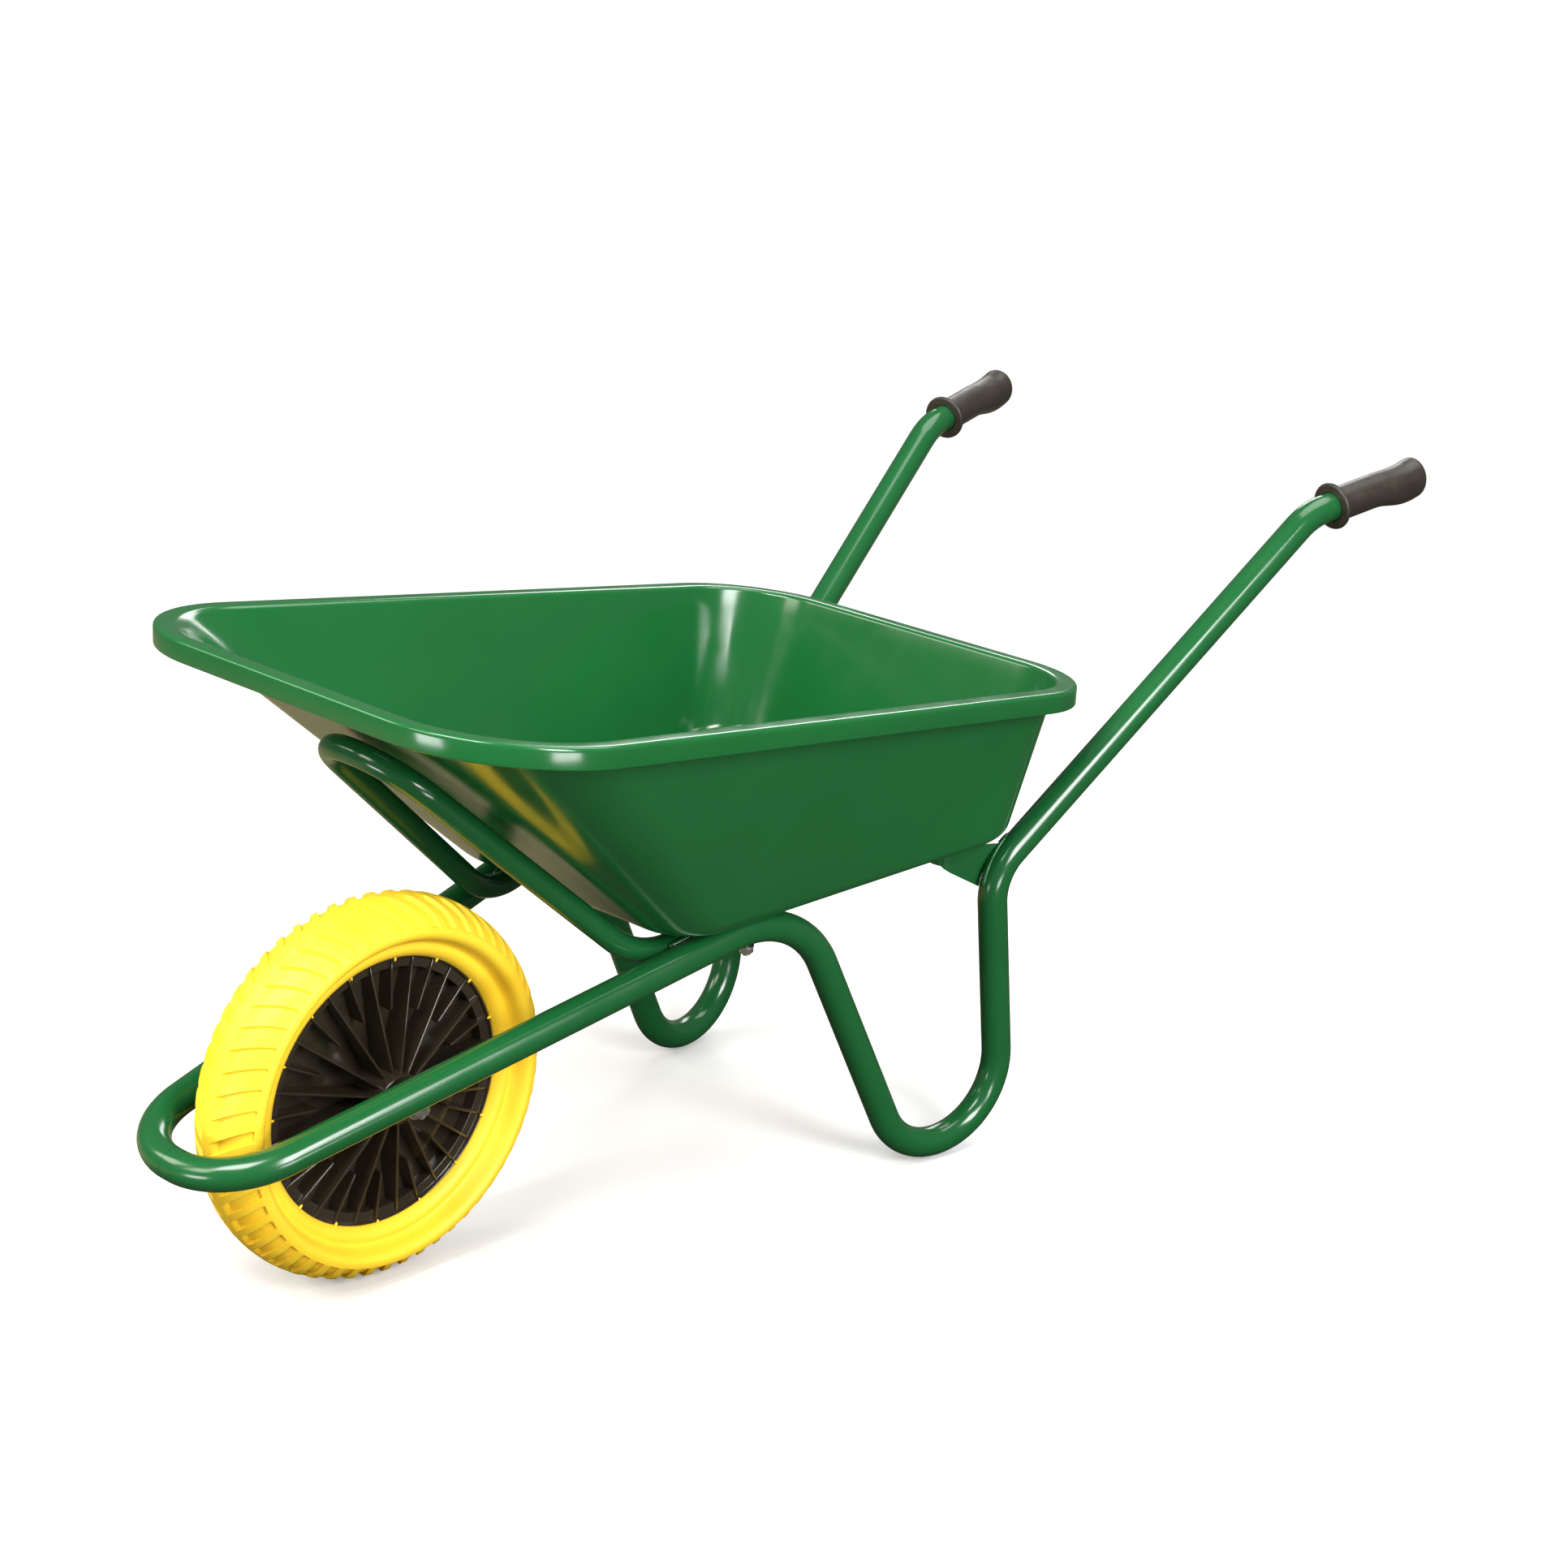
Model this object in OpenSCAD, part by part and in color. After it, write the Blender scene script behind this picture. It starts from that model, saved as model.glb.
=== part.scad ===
// Builder's wheelbarrow: one bent tube frame, a pressed steel tray and a foam tyre on a moulded centre.
// Millimetres. +X runs from the wheel to the handles, +Y to the right of someone at the handles,
// +Z up. The origin lies on the ground, midway along the barrow and on its centre plane.
// Places along X are first given from the wheel axle ("behind the axle"), then shifted once.

/* [Wheel] */
// Outside diameter over the tread
wheel_d = 386; // [360:2:420]
// Widest section of the tyre
tyre_w = 92; // [80:1:96]
// Radius of the tyre's bead lip, where the moulded centre shows
bead_r = 136; // [128:1:142]
// Half width of the moulded centre's barrel
barrel_half = 20; // [16:1:24]
// Radial thickness of the barrel
barrel_t = 7; // [5:0.5:9]
// Thickness of the disc in the wheel's middle plane
web_t = 5; // [4:0.5:8]
// Number of long fins on the moulded centre, with as many short ones between
fin_count = 16; // [12:1:18]
// Thickness of a fin
fin_t = 2.6; // [2:0.2:3.2]
// Radius at which the short fins start
short_fin_r = 84; // [70:1:100]
// Half length of the hub between the bearing faces
hub_half = 44; // [38:1:50]
// Number of tread lugs on each side of the tyre
lug_count = 54; // [40:1:60]
// Depth of the slots between the lugs
slot_depth = 4.2; // [2:0.1:6]
// Half width of the unbroken rib round the middle of the tread
rib_half = 8; // [5:0.5:12]
// Radius of the hub's moulded boss
hub_r = 25; // [23:0.5:30]

/* [Axle] */
// Shank diameter of the axle bolt
axle_d = 12; // [10:1:12]
// Outside diameter of a wheel bearing
bearing_d = 32; // [30:1:34]
// Width of a wheel bearing
bearing_w = 10; // [9:1:12]
// Diameter of a bearing ball
ball_d = 5.9; // [5:0.1:6]
// Number of balls in a bearing
ball_count = 7; // [6:1:7]
// Length of the spacers between bearing and bracket
spacer_len = 18; // [14:1:22]
// Thickness of the bent axle brackets
bracket_t = 4; // [3:0.5:5]
// Length of the axle brackets along the rail
bracket_len = 40; // [34:1:50]
// Radius of the bracket round the axle hole
bracket_r = 12; // [11:0.5:14]
// Width across the flats of the axle bolt head and nut
axle_flats = 18; // [17:1:21]

/* [Main tube] */
// Outside diameter of the main tube
tube_d = 32; // [30:1:35]
// Wall of the main tube
tube_wall = 1.5; // [1.2:0.1:2.5]
// Distance from the axle to the middle of the nose bar
nose_ahead = 229; // [224:1:240]
// Half width between the nose's corners, before bending
nose_half = 74; // [73.4:0.2:80]
// How far the nose bar lies below the axle
nose_drop = 12.4; // [8:0.1:16]
// Bend radius of the nose
nose_bend = 81; // [72:1:82]
// Distance behind the axle of the crest under the tray
crest_behind = 408; // [400:1:420]
// Half width at the crest
crest_half = 166.8; // [160:0.2:170]
// Height of the crest's corner
crest_z = 333; // [326:0.2:338]
// Bend radius of the crest
crest_bend = 103; // [94:1:108]
// Distance behind the axle of the foot's corner
foot_behind = 765; // [750:1:776]
// Half width at the feet's corners
foot_half = 207.6; // [204:0.2:212]
// Bend radius of the foot
foot_bend = 81.3; // [76:0.1:88]
// Distance behind the axle of the knee under the tray's rear end
knee_behind = 665.4; // [660:0.2:672]
// Half width at the knee
knee_half = 205.8; // [202:0.2:208]
// Height of the knee's corner
knee_z = 315.9; // [310:0.1:320]
// Bend radius of the knee
knee_bend = 60.7; // [56:0.1:66]
// Distance behind the axle of the handle bend
handle_behind = 1083; // [1050:1:1092]
// Half width at the handle bends
handle_half = 279.4; // [270:0.1:290]
// Height of the handle bend's corner
handle_z = 663.4; // [640:0.1:690]
// Bend radius of the handle bend
handle_bend = 82.6; // [70:0.1:90]
// Distance behind the axle of the handle ends
end_behind = 1249; // [1242:0.1:1270]
// Half width at the handle ends
end_half = 307.1; // [296:0.1:316]
// Height of the handle ends
end_z = 693.4; // [670:0.1:710]

/* [Grips] */
// Length of a grip
grip_len = 138; // [120:1:140]
// Radius of the grip's flange
flange_r = 26.4; // [23:0.1:30]
// Thickness of the grip's flange
flange_t = 6; // [4:0.5:9]
// Radius of the grip behind the flange
grip_r = 19.2; // [18.5:0.1:21]
// How far the grip's heel reaches below the handle's axis
heel_drop = 26.9; // [24:0.1:30]
// How far the grip's end reaches above the handle's axis
end_rise = 23.4; // [21:0.1:26]
// Solid rubber between the end of the handle tube and the end of the grip
grip_end_t = 24; // [20:0.5:30]

/* [Front hoop] */
// Outside diameter of the hoop's tube
hoop_d = 25; // [22:1:26]
// Wall of the hoop's tube
hoop_wall = 1.5; // [1.2:0.1:2]
// Distance of the hoop's lower corner from the nose corner, along the rail
hoop_along = 483.5; // [474:0.1:494]
// Angle at which the hoop's foot sits round the rail, from level
hoop_roll = 8.7; // [4:0.1:16]
// Length of the hoop's foot from its corner
hoop_foot = 80; // [70:1:84]
// Bend radius of the hoop's lower corner
hoop_low_bend = 81; // [68:1:84]
// Distance ahead of the axle of the hoop's top bar
hoop_top_ahead = 25.2; // [16:0.2:30]
// Half width of the hoop's top corners
hoop_top_half = 58; // [57:0.5:66]
// Height of the hoop's top bar
hoop_top_z = 534.2; // [514:0.2:536]
// Bend radius of the hoop's top corners
hoop_top_bend = 62; // [40:1:63]

/* [Tray] */
// Thickness of the tray's sheet
sheet = 1.5; // [1.2:0.1:2]
// Distance ahead of the axle of the rim's front edge
rim_ahead = 108.8; // [90:0.2:125]
// Distance behind the axle of the rim's rear edge
rim_behind = 777.1; // [750:0.1:790]
// Half width of the rim at the front corners
rim_front_half = 297.9; // [280:0.1:305]
// Half width of the rim at the rear corners
rim_rear_half = 270.9; // [255:0.1:285]
// Corner radius of the rim at the front
rim_front_r = 146; // [120:1:160]
// Corner radius of the rim at the rear
rim_rear_r = 122; // [100:1:140]
// Height of the rim over the axle
rim_z = 607.3; // [590:0.1:625]
// Fall of the rim towards the handles, mm per mm
rim_fall = 0.114; // [0.09:0.002:0.13]
// Width of the rim's flange
rim_flange = 21; // [16:0.5:26]
// Height of the rim's turned-down lip
rim_lip = 21.5; // [14:0.5:26]
// Distance behind the axle of the floor's front edge
floor_front = 246; // [236:1:262]
// Distance behind the axle of the floor's rear edge
floor_rear = 704; // [690:1:706]
// Half width of the floor's front edge
floor_front_half = 174; // [160:1:180]
// Half width of the floor's rear edge
floor_rear_half = 236.6; // [226:0.2:240]
// Corner radius of the floor at the front
floor_front_r = 62; // [50:1:75]
// Corner radius of the floor at the rear
floor_rear_r = 70; // [62:1:90]
// Rise of the floor towards the handles, mm per mm
floor_rise = 0.092; // [0.08:0.002:0.1]
// Run of the rounded edge between floor and walls
floor_round = 18; // [14:1:20]

/* [Rear brace] */
// Thickness of the brace's sheet
brace_t = 3; // [2.5:0.5:4]
// Distance of the brace's web ahead of the knee
brace_ahead = 49.4; // [43.4:0.2:53.4]
// Half width between the brace's two folds
brace_fold_half = 172; // [164:1:174]
// Height of the web's lower edge between the folds
brace_low_z = 327; // [320:1:332]
// Height of the gusset's lower corner at the leg
gusset_low_z = 288; // [284:1:296]
// Height of the gusset's upper edge at the leg
gusset_top_z = 347; // [344:1:350]
// Width of the flange that carries the tray
brace_flange = 60; // [56:1:68]
// Half length of that flange
brace_flange_half = 150; // [130:1:156]
// Rounding of the brace's folds
brace_round = 14; // [8:1:18]

/* [Tray bolts] */
// Shank diameter of the tray bolts
tray_bolt_d = 8; // [6:1:8]
// Half distance between the two rear bolts
rear_bolt_half = 110; // [80:1:130]
// Distance from the brace's web to the rear bolts
rear_bolt_in = 45; // [40:1:50]

/* [Hidden] */

green = "#1d6b38";
black = "#201d1a";
zinc = "#b9bcbd";
yellow = "#ffe14d";

$fn = 64;
weld_gap = 0.1;      // left between welded tubes
seat_gap = 0.05;     // between pieces that seat on each other round a shaft
run_gap = 0.05;      // radial running clearance of the balls on the inner race
hole_gap = 0.25;     // radial clearance of a bolt in its hole
swell = 0.1;         // a bent stretch is this much thicker than the straight ones that end inside it
lap = 2;             // how far a straight stretch reaches into a bend

tube_r = tube_d / 2;
hoop_r = hoop_d / 2;
axle_z = wheel_d / 2;
axle_r = axle_d / 2;

// ---- vectors ----
function unit(v) = v / norm(v);
function flip_y(p) = [p[0], -p[1], p[2]];
function reversed(list) = [for (i = [len(list) - 1 : -1 : 0]) list[i]];
// Corner between the legs a and b: how far a bend of radius r sets back from it
function turn(a, b) = acos(unit(a) * unit(b));
function setback(a, b, r) = r * tan(turn(a, b) / 2);
function bend_centre(p, a, b, r) = p + unit(unit(b) - unit(a)) * r / cos(turn(a, b) / 2);

// ---- main tube: its corners on one side, from the nose to the handle end, wheel axle at x = 0 ----
nose = [-nose_ahead, -nose_half, axle_z - nose_drop];
crest = [crest_behind, -crest_half, crest_z];
knee = [knee_behind, -knee_half, knee_z];
handle = [handle_behind, -handle_half, handle_z];
handle_end = [end_behind, -end_half, end_z];
grip_dir = unit(handle_end - handle);
function foot_at(z) = [foot_behind, -foot_half, z];
// Lowest point of the foot's bend when its corner is at height z
function foot_low(z) =
    let (f = foot_at(z), a = f - crest, b = knee - f, n = unit(cross(a, b)),
         c = bend_centre(f, a, b, foot_bend))
    c[2] - foot_bend * sqrt(1 - n[2] * n[2]) - tube_r;
// The corner is lowered or raised until the bend just stands on the ground
function foot_corner_z(z, tries) =
    tries == 0 ? z : foot_corner_z(z - foot_low(z), tries - 1);
foot = foot_at(foot_corner_z(-2.3 * foot_bend - tube_d, 8));

tube_end = handle_end - grip_dir * grip_end_t;
side_corners = [nose, crest, foot, knee, handle, tube_end];
side_bends = [nose_bend, crest_bend, foot_bend, knee_bend, handle_bend, 0];
frame_corners = concat(reversed(side_corners), [for (p = side_corners) flip_y(p)]);
frame_bends = concat(reversed(side_bends), side_bends);

rail = unit(crest - nose);
function rail_at(x) = nose + rail * (x + nose_ahead) / rail[0];
rail_slope = asin(rail[2]);

// ---- left grip: how far its section reaches above, below and beside the handle's axis, at a
// distance e before the grip's end ----
heel_at = 26;        // distance of the heel's lowest place from the end
heel_run = 50;       // length over which the heel grows out of the grip
end_drop = end_rise - 1;     // how far the very end reaches below the axis
flare_run = 24;      // length over which the top rises towards the end
spread_run = 60;     // length over which the sides spread
spread_side = 2.4;   // and by how much
waist_dip = 0.9;     // hollow of the top ahead of the flare
waist_from = 18;     // distance of the hollow's end from the grip's end
waist_run = 45;      // length of the hollow
flare_power = 1.3;   // above 1 the top rises ever faster towards the end
end_round = 9;       // length of the rounded end
end_power = 2.4;     // 2 would round it as an ellipse, more makes it fuller
grip_sides = 28;
function reach_below(e) =
    e > heel_at + heel_run ? grip_r :
    e > heel_at ? grip_r + (heel_drop - grip_r) * (1 + cos(180 * (e - heel_at) / heel_run)) / 2 :
    end_drop + (heel_drop - end_drop) * sin(90 * e / heel_at);
function reach_above(e) =
    grip_r + (end_rise - grip_r) * pow(max(0, 1 - e / flare_run), flare_power)
    - waist_dip * sin(min(180, max(0, 180 * (e - waist_from) / waist_run)));
function reach_beside(e) = grip_r + spread_side * max(0, 1 - e / spread_run);
function rounding(e) = e >= end_round ? 1 : pow(1 - pow(1 - e / end_round, end_power), 1 / end_power);
grip_side = unit(cross(grip_dir, [0, 0, 1]));
grip_up = cross(grip_side, grip_dir);
function grip_ring(e, beside, above, below) =
    [for (i = [0 : grip_sides - 1]) let (w = i * 360 / grip_sides)
        handle_end - grip_dir * e + grip_side * beside * cos(w)
        + grip_up * (w < 180 ? above : below) * sin(w)];
function hand_ring(e) =
    let (k = rounding(e))
    grip_ring(e, k * reach_beside(e), k * reach_above(e), k * reach_below(e));
function flange_ring(w) =
    let (e = grip_len - flange_t / 2 * (1 - cos(w)), r = flange_r - flange_t / 2 * (1 - sin(w)))
    grip_ring(e, r, r, r);
hand_steps = 15;
grip_rings = concat([for (w = [0 : 30 : 180]) flange_ring(w)],
    [hand_ring(grip_len - flange_t)],
    [for (i = [0 : hand_steps]) let (u = i / hand_steps)
        hand_ring((heel_at + heel_run) * (1 - u) + end_round * u)],
    [for (u = [0.8, 0.6, 0.4, 0.2, 0.08, 0.01]) hand_ring(end_round * u)]);

// ---- the whole barrow is shifted so that the origin is midway between its ends ----
front_x = -nose_ahead - tube_r;
back_x = max([for (ring = grip_rings) for (p = ring) p[0]]);
mid_x = (front_x + back_x) / 2;

// ---- front hoop: its foot lies along the inner side of the rail ----
rail_in = unit([0, 1, 0] - rail * rail[1]);
rail_up = cross(rail_in, rail)[2] > 0 ? cross(rail_in, rail) : -cross(rail_in, rail);
hoop_side = cos(hoop_roll) * rail_in + sin(hoop_roll) * rail_up;
hoop_low = nose + rail * hoop_along + hoop_side * (tube_r + hoop_r + weld_gap);
hoop_end = hoop_low + rail * hoop_foot;
hoop_top = [-hoop_top_ahead, -hoop_top_half, hoop_top_z];
hoop_corners = [hoop_end, hoop_low, hoop_top, flip_y(hoop_top), flip_y(hoop_low), flip_y(hoop_end)];
hoop_bends = [0, hoop_low_bend, hoop_top_bend, hoop_top_bend, hoop_low_bend, 0];

// ---- tray floor: its underside rests on the crests of the main tube ----
floor_tilt = atan(floor_rise);
crest_in = crest - nose;
crest_out = foot - crest;
crest_c = bend_centre(crest, crest_in, crest_out, crest_bend);
crest_top = crest_c + crest_bend * [-sin(floor_tilt), 0, cos(floor_tilt)];
seat_x = crest_top[0] - tube_r * sin(floor_tilt);
seat_z = crest_top[2] + tube_r * cos(floor_tilt);
function floor_z(x) = seat_z + floor_rise * (x - seat_x);
function rim_top(x) = rim_z - rim_fall * x;

// ---- tray bolts: [x, y] on the floor ----
brace_behind = knee_behind - brace_ahead;
rear_bolt_x = brace_behind - rear_bolt_in;
front_bolts = [for (s = [-1, 1]) [seat_x, s * crest_top[1]]];
rear_bolts = [for (s = [-1, 1]) [rear_bolt_x, s * rear_bolt_half]];
bolt_r = tray_bolt_d / 2;
bolt_head_r = tray_bolt_d * 1.1;
bolt_head_h = tray_bolt_d * 0.5;
washer_t = tray_bolt_d * 0.2;
washer_r = tray_bolt_d;
// under a crest the washer bridges the bend's hollow side
crest_grip = tube_d + swell + seat_gap + washer_r * washer_r / 2 / (crest_bend - tube_r);
nut_h = tray_bolt_d * 0.8;
nut_flats = tray_bolt_d * 1.625;

// ---- axle stack, measured from the middle plane outwards ----
bracket_in = hub_half + spacer_len;
bracket_out = bracket_in + bracket_t;
axle_washer_t = 2.5;
axle_washer_r = axle_d;
head_in = bracket_out + axle_washer_t;
head_h = axle_d * 0.62;
axle_nut_h = axle_d * 0.85;
spacer_wall = 3;     // wall of the spacers that clamp the bearings' inner races
bolt_over = 3;       // what a bolt shows past its nut
bracket_lap = 2;     // how far the bracket's flange rises beside the rail
pitch_r = (bearing_d / 2 + axle_r) / 2;

// =================== general shapes ===================

// A rod from p to q, or a tube where it has a wall
module rod(p, q, r, wall = 0) {
    d = q - p;
    translate(p)
        rotate([0, acos(d[2] / norm(d)), atan2(d[1], d[0])])
            difference() {
                cylinder(h = norm(d), r = r);
                if (wall > 0)
                    translate([0, 0, -1])
                        cylinder(h = norm(d) + 2, r = r - wall);
            }
}

// The round bend at corner p between the directions a and b
module bend(p, a, b, bend_r, r, wall = 0) {
    c = bend_centre(p, a, b, bend_r);
    x = unit(p - unit(a) * setback(a, b, bend_r) - c);
    z = unit(cross(a, b));
    y = cross(z, x);
    multmatrix([[x[0], y[0], z[0], c[0]], [x[1], y[1], z[1], c[1]], [x[2], y[2], z[2], c[2]], [0, 0, 0, 1]])
        rotate_extrude(angle = turn(a, b), $fn = 96)
            translate([bend_r, 0])
                difference() {
                    circle(r = r);
                    if (wall > 0)
                        circle(r = r - wall);
                }
}

// A round bar, or a tube where it has a wall, bent at its corners
module bent_tube(corners, bends, r, wall = 0) {
    last = len(corners) - 1;
    for (i = [0 : last - 1]) {
        p = corners[i];
        q = corners[i + 1];
        d = unit(q - p);
        from = i == 0 ? 0 : setback(p - corners[i - 1], q - p, bends[i]) - lap;
        to = i == last - 1 ? 0 : setback(q - p, corners[i + 2] - q, bends[i + 1]) - lap;
        rod(p + d * from, q - d * to, r, wall);
    }
    for (i = [1 : last - 1])
        bend(corners[i], corners[i] - corners[i - 1], corners[i + 1] - corners[i],
             bends[i], r + swell, wall > 0 ? wall + 2 * swell : 0);
}

// Its children, and their mirror image on the barrow's other side
module both_sides() {
    children();
    mirror([0, 1, 0])
        children();
}

// Shapes turned about the wheel's axis: the profile's first axis is the radius, the second is +Y
module turned(fn = 96) {
    rotate([-90, 0, 0])
        rotate_extrude($fn = fn)
            children();
}

// A ring round the wheel's axis between two radii, from y0 to y1
module ring(r_in, r_out, y0, y1) {
    turned()
        translate([r_in, y0])
            square([r_out - r_in, y1 - y0]);
}

// A six-sided prism along +Y with its flats af apart
module hexagon_bar(af, y0, y1) {
    translate([0, y0, 0])
        rotate([-90, 0, 0])
            cylinder(h = y1 - y0, r = af / 2 / cos(30), $fn = 6);
}

// Places its children with the wheel's axis along Y through the axle
module at_axle() {
    translate([-mid_x, 0, axle_z])
        children();
}

// Places its children on the tray floor's underside at [x, y], square to the floor
module on_floor(spot) {
    translate([spot[0], spot[1], floor_z(spot[0])])
        rotate([0, -floor_tilt, 0])
            children();
}

// A hole along the wheel's axis
module cross_hole(r) {
    rotate([90, 0, 0])
        cylinder(h = 4 * bracket_out, r = r, center = true);
}

module bolt_holes(spots) {
    for (spot = spots)
        on_floor(spot)
            cylinder(h = 4 * tube_d, r = bolt_r + hole_gap, center = true, $fn = 32);
}

// =================== frame ===================

module main_frame() {
    color(green)
        translate([-mid_x, 0, 0])
            difference() {
                bent_tube(frame_corners, frame_bends, tube_r, tube_wall);
                bolt_holes(front_bolts);
            }
}

module front_hoop() {
    color(green)
        translate([-mid_x, 0, 0])
            bent_tube(hoop_corners, hoop_bends, hoop_r, hoop_wall);
}

// Plan of the brace's web: across between the folds, then back along a gusset into each leg
gusset_out_half = knee_half - 0.7 * brace_t;
gusset_back = knee_behind + 0.85 * tube_r;
brace_top_z = floor_z(brace_behind) - brace_t;
fold_drop = 2;       // how far the web's lower edge falls on its way to a fold
function brace_side(off) =
    let (a = [brace_behind + off, brace_fold_half - off],
         b = [gusset_back, gusset_out_half - off],
         d = unit(b - a), t = brace_round)
    concat([for (u = [0 : 0.25 : 1])
               (1 - u) * (1 - u) * (a - [0, t]) + 2 * u * (1 - u) * a + u * u * (a + d * t)],
           [b]);
module brace_plan() {
    outer = brace_side(0);
    inner = brace_side(brace_t);
    polygon(concat(outer, reversed(inner), [for (p = inner) [p[0], -p[1]]],
                   [for (p = reversed(outer)) [p[0], -p[1]]]));
}
// Seen along the barrow: deep at the legs, shallow in the middle
module brace_front() {
    polygon([[-knee_half, gusset_low_z], [-gusset_out_half, gusset_low_z],
             [-brace_fold_half, brace_low_z - fold_drop], [-brace_fold_half + brace_round, brace_low_z],
             [brace_fold_half - brace_round, brace_low_z], [brace_fold_half, brace_low_z - fold_drop],
             [gusset_out_half, gusset_low_z], [knee_half, gusset_low_z],
             [knee_half, gusset_top_z], [-knee_half, gusset_top_z]]);
}
module brace_flange_plate() {
    on_floor([brace_behind + brace_t, 0])
        translate([-brace_flange, -brace_flange_half, -brace_t])
            cube([brace_flange, 2 * brace_flange_half, brace_t]);
}
module rear_cross_brace() {
    color(green)
        translate([-mid_x, 0, 0])
            difference() {
                union() {
                    intersection() {
                        translate([0, 0, gusset_low_z - 1])
                            linear_extrude(height = gusset_top_z - gusset_low_z + 2)
                                brace_plan();
                        translate([brace_behind - brace_flange, 0, 0])
                            rotate([90, 0, 90])
                                linear_extrude(height = 3 * brace_flange)
                                    brace_front();
                    }
                    translate([brace_behind, -brace_flange_half, brace_low_z])
                        cube([brace_t, 2 * brace_flange_half, brace_top_z - brace_low_z]);
                    brace_flange_plate();
                }
                bent_tube(frame_corners, frame_bends, tube_r + weld_gap);
                bolt_holes(rear_bolts);
            }
}

// Axle bracket: a strip that is welded under the rail and bent down to the axle
bracket_top = (rail_at(0)[2] - axle_z) * cos(rail_slope) - tube_r + bracket_lap;
module bracket_blank() {
    // the hanging tab, round at the axle and wide at the rail
    rotate([90, 0, 0])
        translate([0, 0, -bracket_out])
            linear_extrude(height = bracket_t) {
                circle(r = bracket_r);
                polygon([[-bracket_r, 0], [bracket_r, 0],
                         [bracket_len / 2, bracket_top], [-bracket_len / 2, bracket_top]]);
            }
    // the flange under the rail
    translate([-bracket_len / 2, bracket_in, bracket_top - bracket_t])
        cube([bracket_len, -rail_at(0)[1] - bracket_in, bracket_t]);
}
module axle_bracket() {
    color(green)
        difference() {
            translate([-mid_x, 0, axle_z])
                rotate([0, -rail_slope, 0])
                    bracket_blank();
            at_axle()
                cross_hole(axle_r + hole_gap);
            translate([-mid_x, 0, 0])
                bent_tube(frame_corners, frame_bends, tube_r + weld_gap);
        }
}
module axle_bracket_right() { axle_bracket(); }
module axle_bracket_left() { mirror([0, 1, 0]) axle_bracket(); }

// =================== tray ===================

// Outline of the tray at one level: a rounded trapezium with [front x, rear x, half widths, radii],
// drawn inset, as points that keep their number at every level
arc_steps = 14;
floor_shape = [floor_front, floor_rear, floor_front_half, floor_rear_half,
               floor_front_r, floor_rear_r];
rim_shape = [-rim_ahead, rim_behind, rim_front_half, rim_rear_half, rim_front_r, rim_rear_r];
function corner_arc(x, y, r, from, span) =
    [for (i = [0 : arc_steps]) let (w = from + span * i / arc_steps) [x + r * cos(w), y + r * sin(w)]];
function outline(shape, inset) =
    let (front = shape[0] + inset, rear = shape[1] - inset,
         lean = atan((shape[3] - shape[2]) / (shape[1] - shape[0])),
         hf = shape[2] - inset / cos(lean), hr = shape[3] - inset / cos(lean),
         rf = shape[4] - inset, rr = shape[5] - inset,
         // height of each corner arc's centre, so that the arc touches the leaning side
         yf = hf - rf * (1 / cos(lean) - tan(lean)), yr = hr - rr * (1 / cos(lean) + tan(lean)),
         far_front = corner_arc(front + rf, yf, rf, 90 + lean, 90 - lean),
         far_rear = corner_arc(rear - rr, yr, rr, 0, 90 + lean),
         far_side = concat(far_rear, far_front))
    concat(far_side, [for (p = reversed(far_side)) [p[0], -p[1]]]);
// A ring of points on the floor plane, raised by up
function floor_ring(inset, up) = [for (p = outline(floor_shape, inset)) [p[0], p[1], floor_z(p[0]) + up]];
// A ring of points on the rim plane, lowered by down
function rim_ring(inset, down) = [for (p = outline(rim_shape, inset)) [p[0], p[1], rim_top(p[0]) - down]];
function mix(a, b, u) = [for (i = [0 : len(a) - 1]) a[i] * (1 - u) + b[i] * u];
// A rounded corner between the rings a and c round the ring b
function soft(a, b, c, u) = mix(mix(a, b, u), mix(b, c, u), u);

wall_share = 0.07;   // share of the wall's height that the rounded floor edge takes
lip_round = 5;
// Sheet thickness measured sideways on a raked wall
side_t = 0.8 * sheet;

// One face of the sheet, from the floor out to the lip's lower edge.
// off is 0 for the upper face and 1 for the lower face, one sheet thickness away.
function face_rings(off) =
    let (low = floor_ring(off ? 0 : side_t, off ? 0 : sheet),
         floor_in = floor_ring(floor_round, off ? 0 : sheet),
         wall_top = rim_ring(rim_flange + (off ? 0 : side_t), off ? sheet : 0),
         wall_low = mix(low, wall_top, wall_share),
         wall_high = mix(low, wall_top, 0.98),
         flange_in = rim_ring(rim_flange - lip_round, off ? sheet : 0),
         edge_in = rim_ring(off ? sheet + lip_round : lip_round, off ? sheet : 0),
         edge = rim_ring(off ? sheet : 0, off ? sheet : 0),
         lip_high = rim_ring(off ? sheet : 0, lip_round + (off ? sheet : 0)),
         lip_low = rim_ring(off ? sheet : 0, rim_lip))
    concat([for (u = [0 : 0.25 : 1]) soft(floor_in, low, wall_low, u)],
           [for (u = [0 : 0.5 : 1]) soft(wall_high, wall_top, flange_in, u)],
           [for (u = [0 : 0.25 : 1]) soft(edge_in, edge, lip_high, u)],
           [lip_low]);

// A closed skin through rings of equally many points
module skin(rings) {
    n = len(rings[0]);
    last = len(rings) - 1;
    points = [for (r = rings) for (p = r) p];
    sides = [for (j = [0 : last - 1]) for (i = [0 : n - 1])
                let (k = (i + 1) % n, a = j * n + i, b = j * n + k, c = a + n, d = b + n)
                for (t = [[a, b, d], [a, d, c]]) t];
    start = [[for (i = [n - 1 : -1 : 0]) i]];
    end = [[for (i = [0 : n - 1]) last * n + i]];
    polyhedron(points = points, faces = concat(sides, start, end), convexity = 6);
}

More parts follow.
